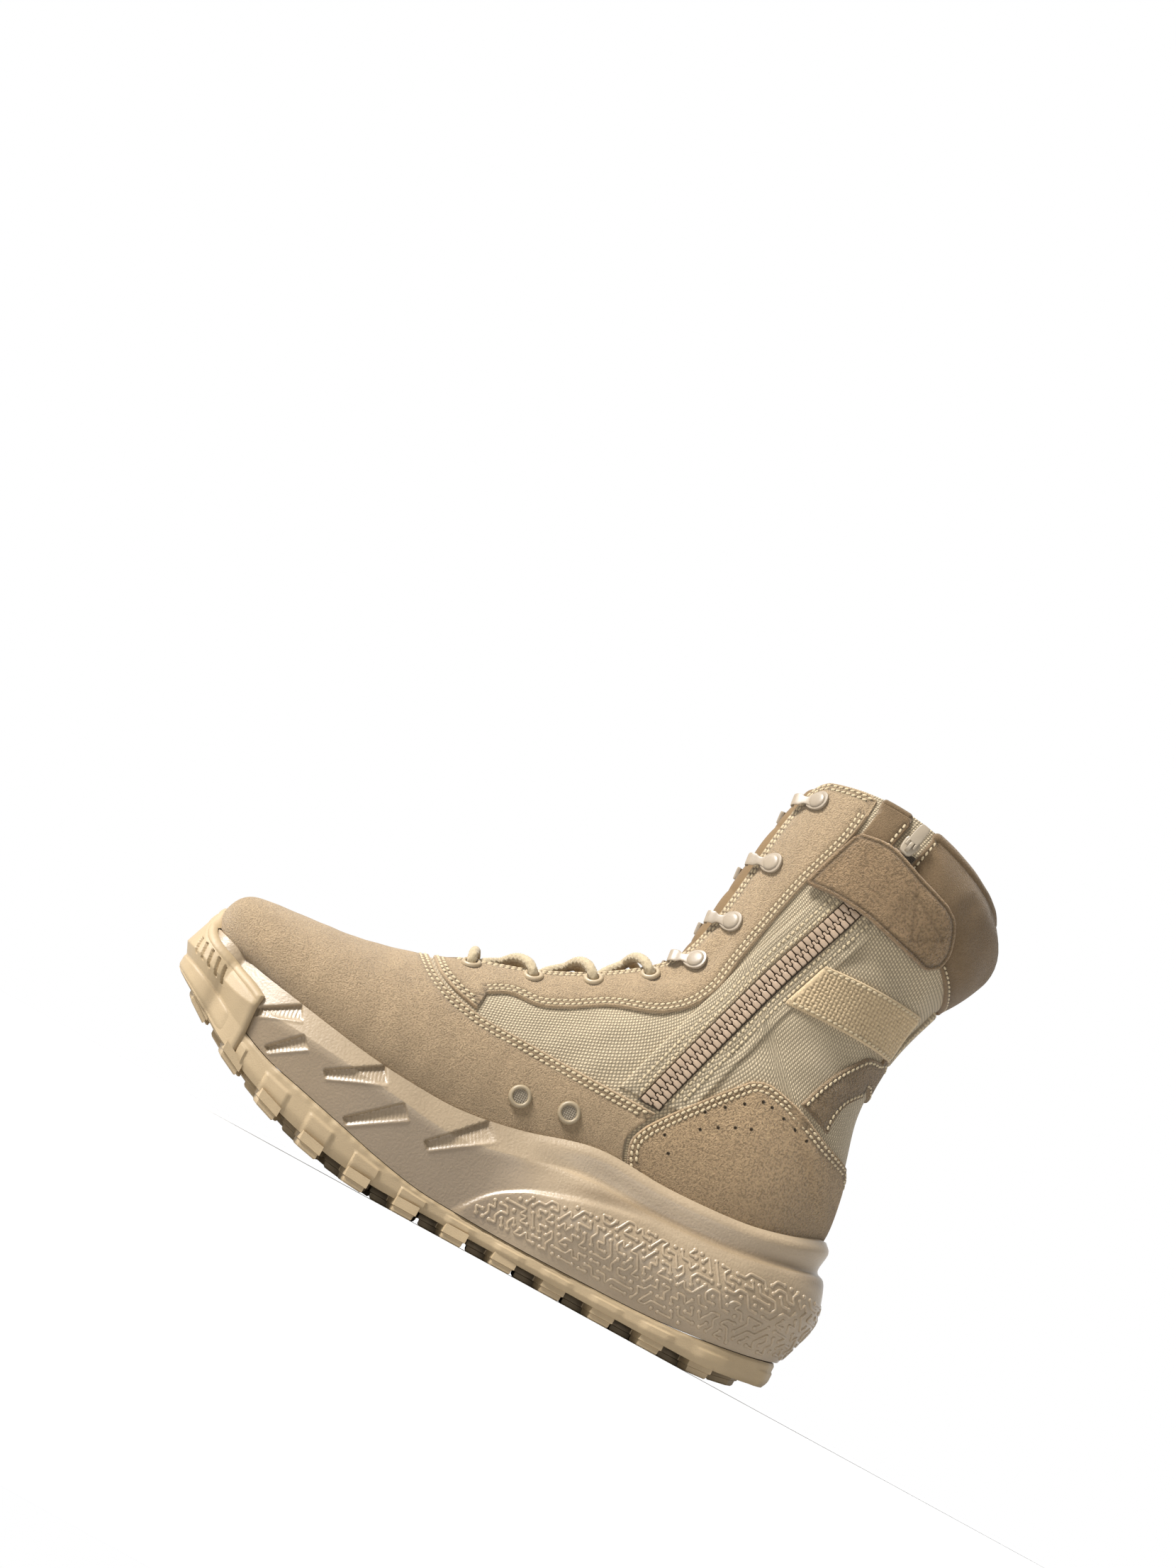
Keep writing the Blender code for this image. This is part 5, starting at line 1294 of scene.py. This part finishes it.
def grip_point(i, j):
    """Distance and height of a place on the grip's staggered lattice."""
    return (i + 0.5 * (j % 2)) * GRIP_PITCH, j * GRIP_PITCH * math.sqrt(0.75)


def grip_walks(spots):
    """Bent chains of neighbours on the lattice, each place in one chain."""
    rng = np.random.default_rng(11)
    left = set(spots)
    chains = []
    for number in rng.permutation(len(spots)):
        if spots[number] not in left:
            continue
        chain = [spots[number]]
        left.discard(chain[0])
        for _ in range(rng.integers(*GRIP_STEPS)):
            i, j = chain[-1]
            around = [(i - 1, j), (i + 1, j)] + [(i - 1 + j % 2 + k, j + n) for k in (0, 1) for n in (-1, 1)]
            free = [spot for spot in around if spot in left]
            if not free:
                break
            chain.append(free[rng.integers(len(free))])
            left.discard(chain[-1])
        chains.append(chain)
    return chains


def grip_rib(side, line, per_step=7, sides=8):
    """Rib along a chain of lattice points, with its bends eased."""
    length = lengths_of(line)
    line = table_at(np.linspace(0, length[-1], per_step * len(line) - per_step + 1), length, line)
    for _ in range(2):
        line[1:-1] = (line[:-2] + 2 * line[1:-1] + line[2:]) / 4
    middle, normals = (np.array(column) for column in zip(*(side.frame(*point) for point in line)))
    across = unit(np.cross(normals, np.gradient(middle, axis=0)))
    wide, high = (size * wave(turns(sides))[:, None] for size, wave in zip(GRIP_RIB, (np.cos, np.sin)))
    return tube(middle[:, None] + wide * across[:, None] + high * normals[:, None])


def make_grip(side, low, high):
    """Grip pattern of the heel pod: dots joined by short bent ribs."""
    spots = []
    for i in range(int(side.lengths[-1] / GRIP_PITCH)):
        for j in range(GRIP_ROWS):
            s, height = grip_point(i, j)
            if np.interp(s, side.lengths, low) < height < np.interp(s, side.lengths, high):
                spots.append((i, j))
    dome = lathe(GRIP_DOME, 9)
    parts = []
    for chain in grip_walks(spots):
        line = np.array([grip_point(*spot) for spot in chain])
        for s, height in (line[0], line[-1])[:len(chain)]:
            place, normal = side.frame(s, height)
            turn = Vector(normal).to_track_quat("Z", "Y").to_matrix().to_4x4()
            parts.append(placed(Matrix.Translation(place) @ turn, dome))
        if len(chain) > 1:
            parts.append(grip_rib(side, line))
    add_piece("pod_grip", joined(parts), FOAM)


def make_midsole():
    loop, away, count = sole_loop(1.0)
    x = loop[:, 0]
    seam, rim = smooth(SEAM_X, SEAM_Z, x), loop[:, 2] + RIM_RISE
    out, z = side_levels(x, seam, rim)
    pod_edge = np.minimum(smooth(POD_EDGE_X, POD_EDGE_Z, x), seam + POD_TOP_SHARE * (rim - seam))
    step = POD_STEP * smoothstep(-1.0, 1.0, pod_edge - z) * smoothstep(*POD_STARTS, x)
    step *= 1 - smoothstep(*POD_STEP_FADES, x)
    pockets = notch_relief(x, z)
    reach = out + pockets + step
    make_grip(SoleSide(loop, away, reach, z), seam + 2.2, np.where(x > 2, pod_edge - 2.6, 0))
    levels = (reach, z), (RIM_INNER, rim), (BED_EDGE, smooth(BED_X, BED_Z, x))
    rings = [levels_at(loop, away, *level) for level in levels]
    # Painted shade in the notch pockets, between the grip's ribs on the pod, on the lower facet that faces
    # down and in the groove above the pod.
    hollow = NOTCH_SHADE * np.clip(-pockets / NOTCH_DEPTH, 0, 1)
    hollow += POD_SHADE * smoothstep(1.2, 2.8, pod_edge - z) * smoothstep(-4, 2, x)
    under_facet = smoothstep(-0.5, 4.0, smooth(FACET_X, FACET_Z, x) - z)
    hollow += FACET_SHADE * under_facet * smoothstep(30, 0, x) * (pockets > -0.3)
    hollow += DIP_SHADE * smoothstep(15, 50, x) * bell((z - pod_edge - DIP_RISE) / DIP_WIDTH)
    hollow = np.concatenate([np.clip(hollow, 0, 1).ravel(), np.zeros(2 * len(loop))])
    add_piece("midsole_moulded", sole_solid(np.vstack(rings), count), FOAM, ("midsole",),
              data={"hollow": hollow})


def lug_block(corners, lift):
    """One bevelled tread block on a stepped foot, hanging from the sole to the rocker."""
    corners = np.array(corners)
    centre = corners.mean(axis=0)
    half = np.abs(corners - centre).max(axis=0)
    rings = []
    for grow, height in ((0.9, LUG_DEPTH + LUG_ROOT), (0.9, 2.7), (0.1, 2.4), (0, 0.6 + lift), (-0.7, lift)):
        ring = centre + (corners - centre) * (1 + grow / half)
        rings.append(np.column_stack([ring, floor_z(ring[:, 0]) + height]))
    return tube(rings)


def tread():
    """Kinked lugs in pairs of blocks, at the places of the solids."""
    parts = []
    for side, _ in SIDES:
        edge_line = form(np.linspace(0, HEEL_ROW, 300), side)
        for i in range(int((TREAD_TO - TREAD_FROM) / TREAD_PITCH) + 1):
            x_edge, x_inner = TREAD_FROM + TREAD_PITCH * i, TREAD_FROM + TREAD_PITCH * (i + 0.5)
            edge = float(np.interp(x_edge, edge_line[:, 0], np.abs(edge_line[:, 1]))) + TREAD_OUT
            if edge < TREAD_LEAST_EDGE:
                continue
            half, reach = LUG_WIDTH / 2, min(LUG_LENGTH, LUG_LENGTH_SHARE * edge) / 2
            lugs = [(x_edge, side * (edge - reach + 1.2), -LUG_KINK)]
            if x_inner < TREAD_TO:
                lugs.append((x_inner, side * 0.3 * edge, LUG_KINK))
            for x, y, kink in lugs:
                for end, lift in ((-1, 0.0), (1, 0.5)):
                    near, far = y + end * LUG_HALF_GAP, y + end * reach
                    front, rear = x - half, x + half
                    corners = [(front, far), (front + kink, near), (rear + kink, near), (rear, far)]
                    parts.append(lug_block(corners, lift))
    return parts


def bumper(loop, away):
    """Rubber wrapped up round the toe, with a row of slots above its foot and a line below its rim."""
    table = np.column_stack([loop, away])
    table = np.vstack([table, table[:1]])
    length = lengths_of(table[:, :3])
    from_toe = np.linspace(-BUMPER_REACH[-1], BUMPER_REACH[-1], 300)
    at = np.where(from_toe < 0, length[-1] + from_toe, from_toe)
    x, y, feather_z, *out_xy = table_at(at, length, table).T
    from_toe = np.abs(from_toe)
    seam, rim = smooth(SEAM_X, SEAM_Z, x), feather_z + RIM_RISE
    top = smooth(BUMPER_REACH, BUMPER_TOP, from_toe)
    low = np.minimum(floor_z(x) + LUG_DEPTH + 1.0, seam - 2.5)
    z = low + (top - low) * np.linspace(0, 1, 60)[:, None]
    out = np.maximum(fore_out(x, z, seam, rim) + BUMPER_CLEARANCE, BUMPER_LEAST_OUT)
    out -= BUMPER_LEAN * smoothstep(0, 1, (z - rim) / np.maximum(top - rim, 1))
    rounding = rounded(np.minimum(top - z, BUMPER_REACH[-1] - from_toe) / BUMPER_ROUND)
    rise = z - seam - SLOT_HEIGHT
    slot = np.zeros(z.shape)
    for number in range(SLOT_COUNT):
        place = from_toe - SLOT_FROM - SLOT_PITCH * number + SLOT_LEAN * rise
        slot += smoothstep(*SLOT_SIDES, np.abs(place)) * smoothstep(*SLOT_ENDS, np.abs(rise))
    line = LINE_DEPTH * bell((top - z - LINE_BELOW) / LINE_WIDTH)
    thick = BUMPER_RIM + (BUMPER_THICKNESS - BUMPER_RIM - line) * rounding - SLOT_DEPTH * slot
    plan = np.column_stack([x, y])
    return sheet(*(levels_at(plan, np.column_stack(out_xy), reach, z) for reach in (out + thick, out)))


def make_outsole():
    loop, away, count = sole_loop(1.6)
    x = loop[:, 0]
    heel, flare = heel_share(x)
    out = FORE_LOW + (MIDSOLE_SIDE[0].out_heel * flare - FORE_LOW) * heel
    out += OUTSOLE_OUT + TOE_OUT * (1 - smoothstep(*TOE_OUT_FADES, x))
    seam, under = smooth(SEAM_X, SEAM_Z, x) - SEAM_GAP, floor_z(x) + LUG_DEPTH
    share = np.concatenate([np.linspace(0, 0.5, 8, endpoint=False), np.linspace(0.5, 1, 14)])[:, None]
    from_lug = np.abs((x - TREAD_FROM + TREAD_PITCH / 2) % TREAD_PITCH - TREAD_PITCH / 2)
    pad = smoothstep(6.4, 5.6, from_lug) * smoothstep(0.72, 0.62, share)
    pad *= (np.abs(loop[:, 1]) > 8) & (x > TOE_OUT_FADES[1])
    level = np.column_stack([x, loop[:, 1], np.zeros(len(x))])
    flash = FLASH * wander(level, **FLASH_WAVES) * smoothstep(0.7, 0.95, share)
    groove = GROOVE * bell((1 - share) * (seam - under) / GROOVE_WIDTH)
    foot = FOOT_ROUND * np.clip(1 - share / FOOT_SHARE, 0, 1) ** FOOT_POWER
    reach = out - foot + LUG_PAD * pad - groove + flash
    body = sole_solid(levels_at(loop, away, reach, under + (seam - under) * share), count)
    mesh_data = joined([body, bumper(loop, away)] + tread())
    # Painted shade in the groove below the seam.
    hollow = np.zeros(len(mesh_data[0]))
    hollow[:groove.size] = GROOVE_SHADE * groove.ravel()
    add_piece("outsole_moulded", mesh_data, RUBBER, ("outsole",), sharp=35,
              data={"hollow": hollow})


def make_insole():
    loop, away, count = sole_loop(3.0)
    edge = loop[:, :2] - INSOLE_INSET * away
    stations = np.arange(2, count - 2)
    medial, lateral = edge[stations], edge[len(edge) - stations]
    share = np.linspace(0, 1, 21)
    plan = medial[:, None] + (lateral - medial)[:, None] * share[None, :, None]
    bed = smooth(BED_X, BED_Z, plan[..., 0])
    top = bed + INSOLE_TOP + INSOLE_CUP * np.abs(2 * share - 1) ** 4
    mesh_data = sheet(np.dstack([plan, top]), np.dstack([plan, bed + INSOLE_LOW]))
    add_piece("insole_lined", mesh_data, LINING, ("insole",),
              data={"chart": chart_data(mesh_data[0][:, :2])})


# Zip, metal and laces

TAPE_LOW, TAPE_HIGH, TAPE_HALF_WIDTH = 89.5, 236, 5.3
TEETH_LOW, TEETH_HIGH, TOOTH_PITCH = 90.0, 235, 3.0
TOOTH_SIZE, TOOTH_SHIFT = (5.2, 2.5, 1.6), (-1.75, 0, 0.5)
TOOTH_HALF = [(-0.5, 0.36), (-0.44, 0.5), (0.0, 0.5), (0.1, 0.42), (0.18, 0.22), (0.44, 0.25), (0.5, 0.12)]
TOOTH_LEVELS = [(1.0, 0.0), (1.0, 0.72), (0.93, 0.92), (0.72, 1.0)]
SLIDER_HEIGHT, SLIDER_LIFT, PULL_LIFT = 238.0, 2.3, 5.8
PULL_GRIP_AT, PULL_ARM_AT = (6.4, 0), (1.2, 1.9)
SLIDER_ARCH = [(-2.6, 2.0), (-1.9, 3.4), (0, 4.0), (1.9, 3.4), (2.6, 2.0)]
HOOK_ROWS, HOOK_INSET, HOOK_LIFT, HOOK_TOWARDS = (11.1, 13.7, 16.4, 18.9), 11.0, 2.6, (-1, 0, -0.1)
HOOK_CURL = [(1.0, 0.5), (4.5, 0.6), (7.0, 1.2), (9.0, 1.9), (10.8, 2.1), (12.0, 1.6), (12.4, 0.7),
             (11.9, -0.1)]
HOOK_SHARES, HOOK_WIDTHS = (0, 0.3, 0.42, 0.55, 0.95, 1), (7.0, 3.9, 3.7, 5.8, 6.0, 5.4)
HOOK_THICKNESS, HOOK_PLATE_AT = 0.85, (0.6, 0)
HOOK_DOME = [(0.02, 1.55), (1.8, 1.5), (3.0, 1.3), (3.7, 0.95), (3.9, 0.5), (3.7, 0.3), (0.02, 0.3)]
HOOK_SHANK = [(0.02, 0.2), (1.3, 0.2), (1.3, -3.4), (0.02, -3.4)]
EYELET_ROWS, EYELET_INSET, METAL_LIFT = (6.0, 7.0, 8.05, 9.3), 7.5, 2.0
EYELET_PROFILE = [(2.45, -2.4), (2.45, 0.5), (2.7, 0.95), (3.2, 1.15), (3.8, 1.0), (4.3, 0.45),
                  (4.4, -0.3), (3.6, -0.3), (3.1, -0.6), (2.95, -2.4)]
VENTS = [(-2.8, 66.8), (18.5, 70.8)]
VENT_PROFILE = [(3.1, -0.4), (3.1, 0.8), (3.4, 1.25), (4.0, 1.4), (4.6, 1.1), (5.0, 0.3), (5.0, -0.4)]
VENT_RADIUS, VENT_PITCH, VENT_TOP, VENT_LOW, VENT_DIP = 3.2, 0.9, 0.75, -0.3, 0.5
VENT_GRID = np.linspace(-1, 1, 46)
LACE_RADIUS, LACE_SIDES, BRAID_DEPTH, BRAID_TURN = 2.0, 16, 0.13, 1.9


def make_zip():
    edges = [side_run(zip_points(TAPE_LOW, TAPE_HIGH, -TAPE_HALF_WIDTH), MEDIAL),
             side_run(zip_points(TAPE_HIGH, TAPE_LOW, TAPE_HALF_WIDTH), MEDIAL)]
    panel("zip_tape", band(*edges), TAPE, lift=0.1, thickness=0.5, spacing=2.2, waves=0)
    outline = [(a, -b) for a, b in TOOTH_HALF] + TOOTH_HALF[::-1]
    rings = [[(a * grow, b * grow, rise) for a, b in outline] for grow, rise in TOOTH_LEVELS]
    tooth, faces = tube(np.array(rings) * TOOTH_SIZE)
    u, v = on_form(smooth_line(zip_points(TEETH_LOW, TEETH_HIGH), 1.0), MEDIAL)
    length = lengths_of(form(u, v))
    at = np.arange(TOOTH_PITCH / 4, length[-1], TOOTH_PITCH / 2)
    parts = []
    for i, (spot, along, out) in enumerate(zip(*path_frames(u, v, at, length))):
        turn = 1 if i % 2 else -1
        axes = np.array([np.cross(out, along) * turn, along * turn, out])
        parts.append((spot + (tooth + TOOTH_SHIFT) @ axes, faces))
    add_piece("zip_teeth", joined(parts), ZIP_PLASTIC, ("zip_chain",), sharp=40)


def zip_place(offset):
    low, high = SLIDER_HEIGHT - 2, SLIDER_HEIGHT + 2
    towards = (float(zip_x(high) - zip_x(low)), 0, high - low)
    return surface_frame(*locate(float(zip_x(SLIDER_HEIGHT)), SLIDER_HEIGHT, MEDIAL), offset, towards)


def make_slider():
    arch = smooth_line(SLIDER_ARCH, 0.3)
    plate = superellipse(length=8.0, width=7.0, power=3.6, steps=40, taper=0.35)
    wire = superellipse(length=1.7, width=0.8, power=4, steps=16)
    body = joined([rounded_plate(plate, 0, 2.4, bevel=0.7), swept(arch, [wire] * len(arch))])
    add_piece("slider_body", placed(zip_place(SLIDER_LIFT), body), SLIDER, ("zip_slider",),
              sharp=40)
    grip = superellipse(length=9.4, width=5.2, power=4.5, steps=40, taper=-0.12)
    arm = superellipse(length=3.6, width=1.15, power=5, steps=24)
    parts = [rounded_plate(grip + PULL_GRIP_AT, -0.6, 0.6, bevel=0.35)]
    for side in (-1, 1):
        parts.append(rounded_plate(arm + (PULL_ARM_AT[0], side * PULL_ARM_AT[1]), -0.55, 0.55, bevel=0.3))
    add_piece("pull_tab", placed(zip_place(PULL_LIFT), joined(parts)), SLIDER,
              ("zip_pull",), body="zip_pull", sharp=40)


def make_hooks():
    line = smooth_line(HOOK_CURL, 0.45)
    widths = np.interp(np.linspace(0, 1, len(line)), HOOK_SHARES, HOOK_WIDTHS)
    curl = swept(line, [superellipse(width, HOOK_THICKNESS, power=4, steps=20) for width in widths])
    plate = superellipse(length=11.2, width=9.4, power=2.1, steps=44, taper=-0.4)
    base = rounded_plate(plate + HOOK_PLATE_AT, -0.8, 0.55, bevel=0.3)
    hook = joined([curl, base, lathe(HOOK_DOME, 32), lathe(HOOK_SHANK, 16)])
    for side, word in SIDES:
        for number, row in enumerate(HOOK_ROWS, 1):
            place = surface_frame(row, side * inset_v(row, HOOK_INSET), HOOK_LIFT, HOOK_TOWARDS)
            add_piece(f"speed_hook_{word}_{number}", placed(place, hook), METAL,
                      (f"hook_{word}_{number}",), sharp=45)


def make_eyelets():
    ring = lathe(EYELET_PROFILE, 32, hollow=True)
    for side, word in SIDES:
        for number, row in enumerate(EYELET_ROWS, 1):
            v = side * inset_v(row, EYELET_INSET)
            place = surface_frame(row, v, METAL_LIFT, form(row, v * 0.9) - form(row, v))
            add_piece(f"eyelet_ring_{word}_{number}", placed(place, ring), EYELET,
                      (f"eyelet_{word}_{number}",), sharp=60)


def make_vents():
    """Rings on the inner arch with a woven mesh disc in each."""
    ring = lathe(VENT_PROFILE, 40, hollow=True)
    a, b = np.meshgrid(VENT_GRID, VENT_GRID, indexing="ij")
    x, y = a * np.sqrt(1 - b * b / 2) * VENT_RADIUS, b * np.sqrt(1 - a * a / 2) * VENT_RADIUS
    weave = np.minimum(*(np.abs(np.sin(place * math.pi / VENT_PITCH)) for place in (x, y)))
    top = VENT_TOP - VENT_DIP * smoothstep(0.35, 0.8, weave)
    disc = sheet(np.dstack([x, y, top]), np.dstack([x, y, np.full(x.shape, VENT_LOW)]))
    for number, (vent_x, vent_z) in enumerate(VENTS, 1):
        place = surface_frame(*locate(vent_x, vent_z, MEDIAL), METAL_LIFT, UP)
        add_piece(f"vent_ring_{number}", placed(place, ring), VENT_RING,
                  (f"vent_{number}",))
        add_piece(f"vent_mesh_{number}", placed(place, disc), VENT_MESH)


def cord_mesh(points):
    """Braided cord along a line of points."""
    line = smooth_line(points, 0.45)
    ahead = unit(np.gradient(line, axis=0))
    side = np.cross(ahead[0], UP)
    around = turns(LACE_SIDES)
    rings = []
    for spot, along, s in zip(line, ahead, lengths_of(line)):
        side = unit(side - (side @ along) * along)
        braid = np.maximum(np.sin(4 * around + s * BRAID_TURN), np.sin(4 * around - s * BRAID_TURN))
        across = np.cos(around)[:, None] * side + np.sin(around)[:, None] * np.cross(along, side)
        rings.append(spot + LACE_RADIUS * (1 + BRAID_DEPTH * braid)[:, None] * across)
    return tube(rings)


def strand(low_row, high_row, side):
    """From under the far edge of the throat, over the tongue, down into an eyelet of the next row."""
    start, end = throat_v(np.float64(low_row)), inset_v(high_row, EYELET_INSET)
    share = np.concatenate([[-0.16, -0.06], np.linspace(0.05, 0.9, 8), [0.975, 1, 1]])
    over = smooth((0, 0.3, 0.6, 0.8, 1), (-0.3, 1.0, 4.2, 5.0, 4.4), share[2:-3])
    lift = np.concatenate([[-1.6, -1.0], over, [3.2, 0.8, -2.6]])
    u = low_row + 0.12 + (high_row - low_row - 0.12) * np.clip(share, -0.1, 1)
    v = side * (-0.8 * start + (0.8 * start + end) * share)
    return form(u, v) + lift[:, None] * form_normal(u, v)


def bar(row):
    """Straight across between the two lowest eyelets, with both ends turned down into them."""
    share = np.concatenate([[-1, -1, -0.96], np.linspace(-0.85, 0.85, 9), [0.96, 1, 1]])
    lift = 2.4 + 2.4 * smoothstep(0, 0.55, np.abs(share))
    lift[:3], lift[-3:] = (-2.6, 0.8, 3.4), (3.4, 0.8, -2.6)
    v = inset_v(row, EYELET_INSET) * share
    return form(row, v) + lift[:, None] * form_normal(row, v)


def make_laces():
    add_piece("lace_bar_cord", cord_mesh(bar(EYELET_ROWS[0])), LACE, ("lace_bar",))
    for number, rows in enumerate(zip(EYELET_ROWS, EYELET_ROWS[1:]), 1):
        strands = [cord_mesh(strand(*rows, side)) for side, _ in SIDES]
        add_piece(f"lace_cross_cord_{number}", joined(strands), LACE, (f"lace_cross_{number}",))


# Stage, in metres

FLOOR_RADIUS = 30.0
FLOOR_TONES = (0.47, 0.47, 0.468, 1), (0.49, 0.49, 0.488, 1)
KEY_FROM, KEY_STRENGTH, KEY_SPREAD = (-1.1, -0.5, 1.2), 7.4, 18
SKY_SPAN, SKY_STRENGTHS = (-0.25, 0.3), (0.34, 1.0)
FILL_PLACE, FILL_TARGET = Vector((0.1, -1.3, 0.07)), Vector((0, 0, 0.02))
FILL_SIZE, FILL_ENERGY = (0.7, 0.12), 2.2
CAMERA_PLACE, CAMERA_TARGET = Vector((-0.004, -0.93, 0.002)), Vector((-0.004, 0.0, 0.127))
CAMERA_ROLL = math.radians(28.5)
CAMERA_SHIFT, CAMERA_CLIP = (0.005, 0.125), (0.01, 50)
VIEW_HEIGHT, SUBJECT_DEPTH = 0.6468, 0.885


def make_stage():
    mesh = bpy.data.meshes.new("floor")
    bm = bmesh.new()
    bmesh.ops.create_circle(bm, cap_ends=True, segments=96, radius=FLOOR_RADIUS)
    bm.to_mesh(mesh)
    bm.free()
    made, nodes, inputs = shader("floor", Roughness=0.9, Specular_IOR_Level=0.1)
    nodes.feed(inputs["Base Color"], nodes.blend(nodes.noise(400), *FLOOR_TONES))
    mesh.materials.append(made)
    obj = linked("floor", mesh)


def make_lights():
    world = bpy.data.worlds.new("studio")
    bpy.context.scene.world = world
    world.use_nodes = True
    sky = world.node_tree.nodes["Background"]
    sky.inputs["Color"].default_value = (1, 1, 1, 1)
    nodes = Nodes(world.node_tree)
    towards = nodes.add("SeparateXYZ", {0: nodes.coords["Generated"]})
    nodes.feed(sky.inputs["Strength"], nodes.between(towards.outputs["Y"], *SKY_SPAN, *SKY_STRENGTHS))
    key = bpy.data.lights.new("key", "SUN")
    key.energy, key.angle = KEY_STRENGTH, math.radians(KEY_SPREAD)
    linked("key", key).rotation_euler = Vector(KEY_FROM).to_track_quat("Z", "Y").to_euler()
    fill = bpy.data.lights.new("fill", "AREA")
    fill.shape, fill.energy = "RECTANGLE", FILL_ENERGY
    fill.size, fill.size_y = FILL_SIZE
    light = linked("fill", fill)
    light.location = FILL_PLACE
    light.rotation_euler = (FILL_PLACE - FILL_TARGET).to_track_quat("Z", "Y").to_euler()


def make_camera():
    data = bpy.data.cameras.new("camera")
    data.lens = data.sensor_width * SUBJECT_DEPTH / VIEW_HEIGHT
    data.shift_x, data.shift_y = CAMERA_SHIFT
    data.clip_start, data.clip_end = CAMERA_CLIP
    ahead = (CAMERA_TARGET - CAMERA_PLACE).normalized()
    up = Vector((-math.sin(CAMERA_ROLL), 0, math.cos(CAMERA_ROLL)))
    right = ahead.cross(up).normalized()
    turn = Matrix((right, right.cross(ahead), -ahead)).transposed()
    camera = linked("camera", data)
    camera.matrix_world = Matrix.Translation(CAMERA_PLACE) @ turn.to_4x4()
    bpy.context.scene.camera = camera
    bpy.context.scene.view_settings.view_transform = "Standard"


MAKERS = [make_vamp, make_eyestays, make_cuff, make_counter, make_heel_tab, make_back_stay, make_strap,
          make_zip_facings, make_upper, make_tongue, make_webbing, make_midsole, make_outsole, make_insole,
          make_zip, make_slider, make_hooks, make_eyelets, make_vents, make_laces, make_stage, make_lights,
          make_camera]
for make in MAKERS:
    make()
